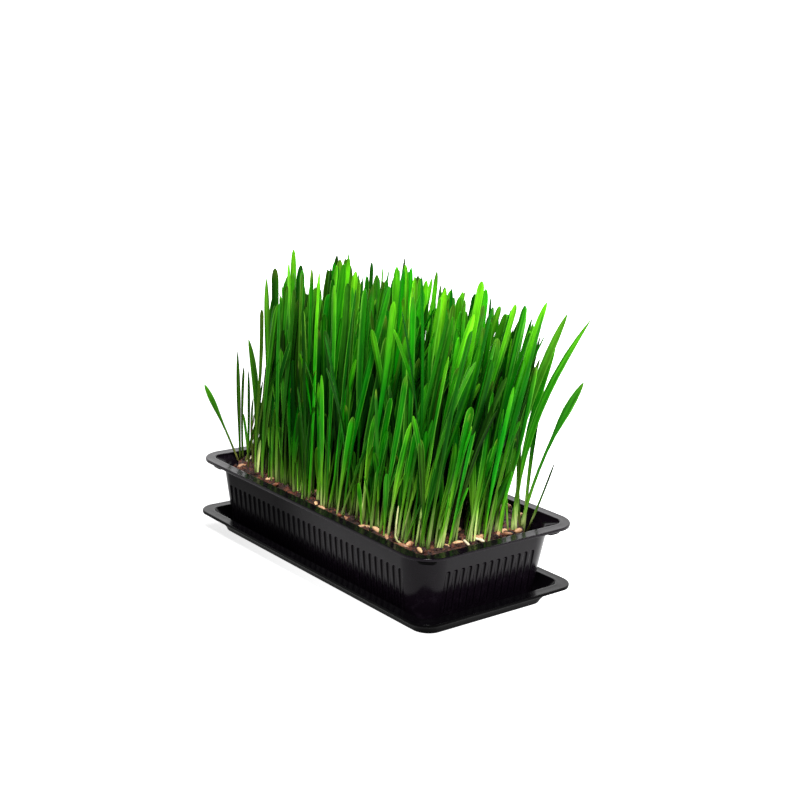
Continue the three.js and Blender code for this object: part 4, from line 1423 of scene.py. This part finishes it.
def grain_points(place, length, width, turn, tilt):
    """A wheat grain: a plump spindle with a crease along its underside."""
    points = []
    for share in np.linspace(0, 1, GRAIN_RINGS):
        along = (share - 0.5) * length
        half = width / 2 * math.sin(math.pi * (0.04 + 0.92 * share)) ** 0.62
        for angle in ring_angles(GRAIN_AROUND):
            crease = 1 - 0.28 * math.exp(-((angle - math.pi * 1.5) / 0.5) ** 2)
            points.append((along, half * crease * math.cos(angle), 0.9 * half * crease * math.sin(angle)))
    turned = Matrix.Rotation(turn, 3, "Z") @ Matrix.Rotation(tilt, 3, "Y") @ Matrix.Rotation(turn * 5, 3, "X")
    return np.array(points) @ np.array(turned).T + place


def crumb_points(place, size, turn):
    """A crumb: a ball pulled out of shape."""
    stretch = rng.uniform(0.6, 1.0, 3)
    points = []
    for polar in math.pi * np.linspace(0.04, 0.96, CRUMB_RINGS):
        for angle in turn + ring_angles(CRUMB_AROUND):
            radius = size / 2 * rng.uniform(0.72, 1.12)
            over = math.sin(polar) * heading(angle)
            points.append(radius * stretch * (*over, -math.cos(polar)))
    return np.array(points) + place


def soil_place():
    """A place on the level part of the soil, more often near the rim where it can be seen."""
    while True:
        x = rng.uniform(-HALF_LENGTH + LENGTH_SPARE, HALF_LENGTH - LENGTH_SPARE)
        y = rng.uniform(-HALF_WIDTH + WIDTH_SPARE, HALF_WIDTH - WIDTH_SPARE)
        if rng.random() < NEAR_RIM:
            if rng.random() < NEAR_LONG_SIDE:
                y = rng.choice([-1, 1]) * (HALF_WIDTH - rng.uniform(*LONG_SIDE_BAND))
            else:
                x = rng.choice([-1, 1]) * (HALF_LENGTH - rng.uniform(*SHORT_SIDE_BAND))
        inside = abs(x) < HALF_LENGTH - CORNER_SPARE - inset_at(y, HALF_WIDTH, SOIL_CORNER)
        if inside and sunk_level(x, y) > SOIL_LEVEL - LOWEST_PLACE:
            return np.array([x, y, float(sunk_level(x, y))])


def strew_grains(material):
    grains, tints = [], []
    for _ in range(GRAINS):
        place = soil_place() + (0, 0, rng.uniform(-0.2, 1.2))
        length = rng.uniform(*GRAIN_LENGTHS)
        width = length * rng.uniform(*GRAIN_PLUMPNESS)
        grains.append(grain_points(place, length, width, rng.uniform(0, 6.3), rng.normal(0, 0.2)))
        tints.append(blend(GRAIN_TAN, GRAIN_BROWN, rng.random() ** 0.8))
    make_lumps("wheat_grains", grains, GRAIN_AROUND, material, tints)


def strew_crumbs(material):
    crumbs = []
    for _ in range(CRUMBS):
        place = soil_place()
        size = rng.uniform(*CRUMB_SIZES)
        place[2] += rng.uniform(-0.2, 0.5)
        crumbs.append(crumb_points(place, size, rng.uniform(0, 1)))
    make_lumps("soil_crumbs", crumbs, CRUMB_AROUND, material, smooth_faces=False)


def strand_points(knots, width):
    """A thin stem around a line."""
    steps = np.arange(0, len(knots) - 1 + 0.01, 1 / 3)
    middles = np.stack([np.interp(steps, np.arange(len(knots)), knots[:, axis]) for axis in range(3)], axis=1)
    along = unit(np.gradient(middles, axis=0))
    aside = unit(np.cross(along, BACK))
    angles = ring_angles(STRAND_AROUND)[:, None]
    spokes = aside[:, None] * np.cos(angles) + np.cross(along, aside)[:, None] * np.sin(angles)
    radii = width / 2 * rng.uniform(0.75, 1.1, len(middles))
    radii[-1] *= 0.3
    return (middles[:, None] + spokes * radii[:, None, None]).reshape(-1, 3)


def lay_strands(material):
    strands, tints = [], []
    for tint, width, pixels in STRANDS.values():
        foot = seen_at(pixels[0], SOIL_LEVEL)
        strands.append(strand_points(np.array([upright_at(pixel, foot) for pixel in pixels]), width))
        tints.append(tint)
    for start, end, width in BROKEN_BITS.values():
        ends = seen_at(start, SOIL_LEVEL + 1.2), seen_at(end, SOIL_LEVEL + 0.8)
        strands.append(strand_points(np.linspace(*ends, 4), width))
        tints.append(CREAM)
    make_lumps("withered_stems", strands, STRAND_AROUND, material, tints)


# ---- stage ----

FLOOR_HALF = 12000
FLOOR_GAP = 0.3  # below the part
WHITE = (1.0, 1.0, 1.0, 1.0)
# The studio's light by direction, each with two cosines and the strengths at them: dimmer overhead, and
# brightest behind the trays.
SKY = (((0, 0, 1), 0.2, 0.6, 1.0, 0.3), ((-0.77, 0.64, 0.0), -0.5, 0.7, 0.6, 2.1))


def make_floor():
    shader = Shader("studio_floor")
    place = shader.place()
    shade = shader.noise(place, 3.0, detail=2.0)
    backward = shader.towards(place, (0.5, 1.0, 0.0))
    shader.set(
        Base_Color=shader.ramp(shade, [(0.3, (0.27, 0.27, 0.27)), (0.7, (0.3, 0.3, 0.3))]),
        # the floor glows, brighter towards the back: painted light, which lightens the shadows around the
        # trays
        Emission_Color=WHITE,
        Emission_Strength=shader.range(backward, -0.17, 0.2, 0.47, 1.9),
        Roughness=0.85,
    )
    corners = [(x * FLOOR_HALF, y * FLOOR_HALF, 0) for x, y in ((-1, -1), (1, -1), (1, 1), (-1, 1))]
    floor = make_object("studio_floor", corners, [(0, 1, 2, 3)], shader.material)
    floor.location.z = -FLOOR_GAP * MM


def make_light(name, place, spread, strength):
    """A broad distant lamp, which lights the floor evenly; spread is how wide it looks, in degrees."""
    data = bpy.data.lights.new(name, "SUN")
    data.angle = math.radians(spread)
    data.energy = strength
    light = bpy.data.objects.new(name, data)
    light.location = place
    light.rotation_euler = Vector(place).to_track_quat("Z", "Y").to_euler()
    bpy.context.scene.collection.objects.link(light)


def make_world():
    """A white studio, lit by direction."""
    world = bpy.data.worlds.new("studio")
    world.use_nodes = True
    nodes = Nodes(world.node_tree)
    view = nodes.node("ShaderNodeTexCoord", {}, "Generated")
    fades = [nodes.range(nodes.towards(view, facing), *limits, "SMOOTHSTEP") for facing, *limits in SKY]
    background = nodes.tree.nodes["Background"].inputs
    strength = nodes.node("ShaderNodeMath", dict(enumerate(fades)), operation="MULTIPLY")
    nodes.feed(background["Strength"], strength)
    nodes.feed(background["Color"], WHITE)
    bpy.context.scene.world = world


# ---- the whole scene ----

make_camera()
make_drip_tray(plastic_material("saucer_plastic", (0.0014, 0.0011, 0.0016), 0.09))
make_growing_tray(plastic_material("black_plastic", (0.0034, 0.002, 0.0038)))
# the lugs are painted shade: nearly black and without gloss, as dark as the gap under the rim
make_corner_lugs(plastic_material("lug_painted_shade", (0.001, 0.001, 0.001), 0.02))
make_soil(soil_material("moist_soil", 0.55))
strew_crumbs(soil_material("loose_crumbs", 0.8))
husks = grain_material()
strew_grains(husks)
lay_strands(husks)
grow_grass(leaf_material())
make_floor()
make_world()
make_light("key_light", (0.9, -0.6, 1.5), 14.0, 5.4)
make_light("back_light", (-0.3, 0.8, 1.3), 26.0, 2.0)
bpy.context.scene.view_settings.view_transform = "Standard"
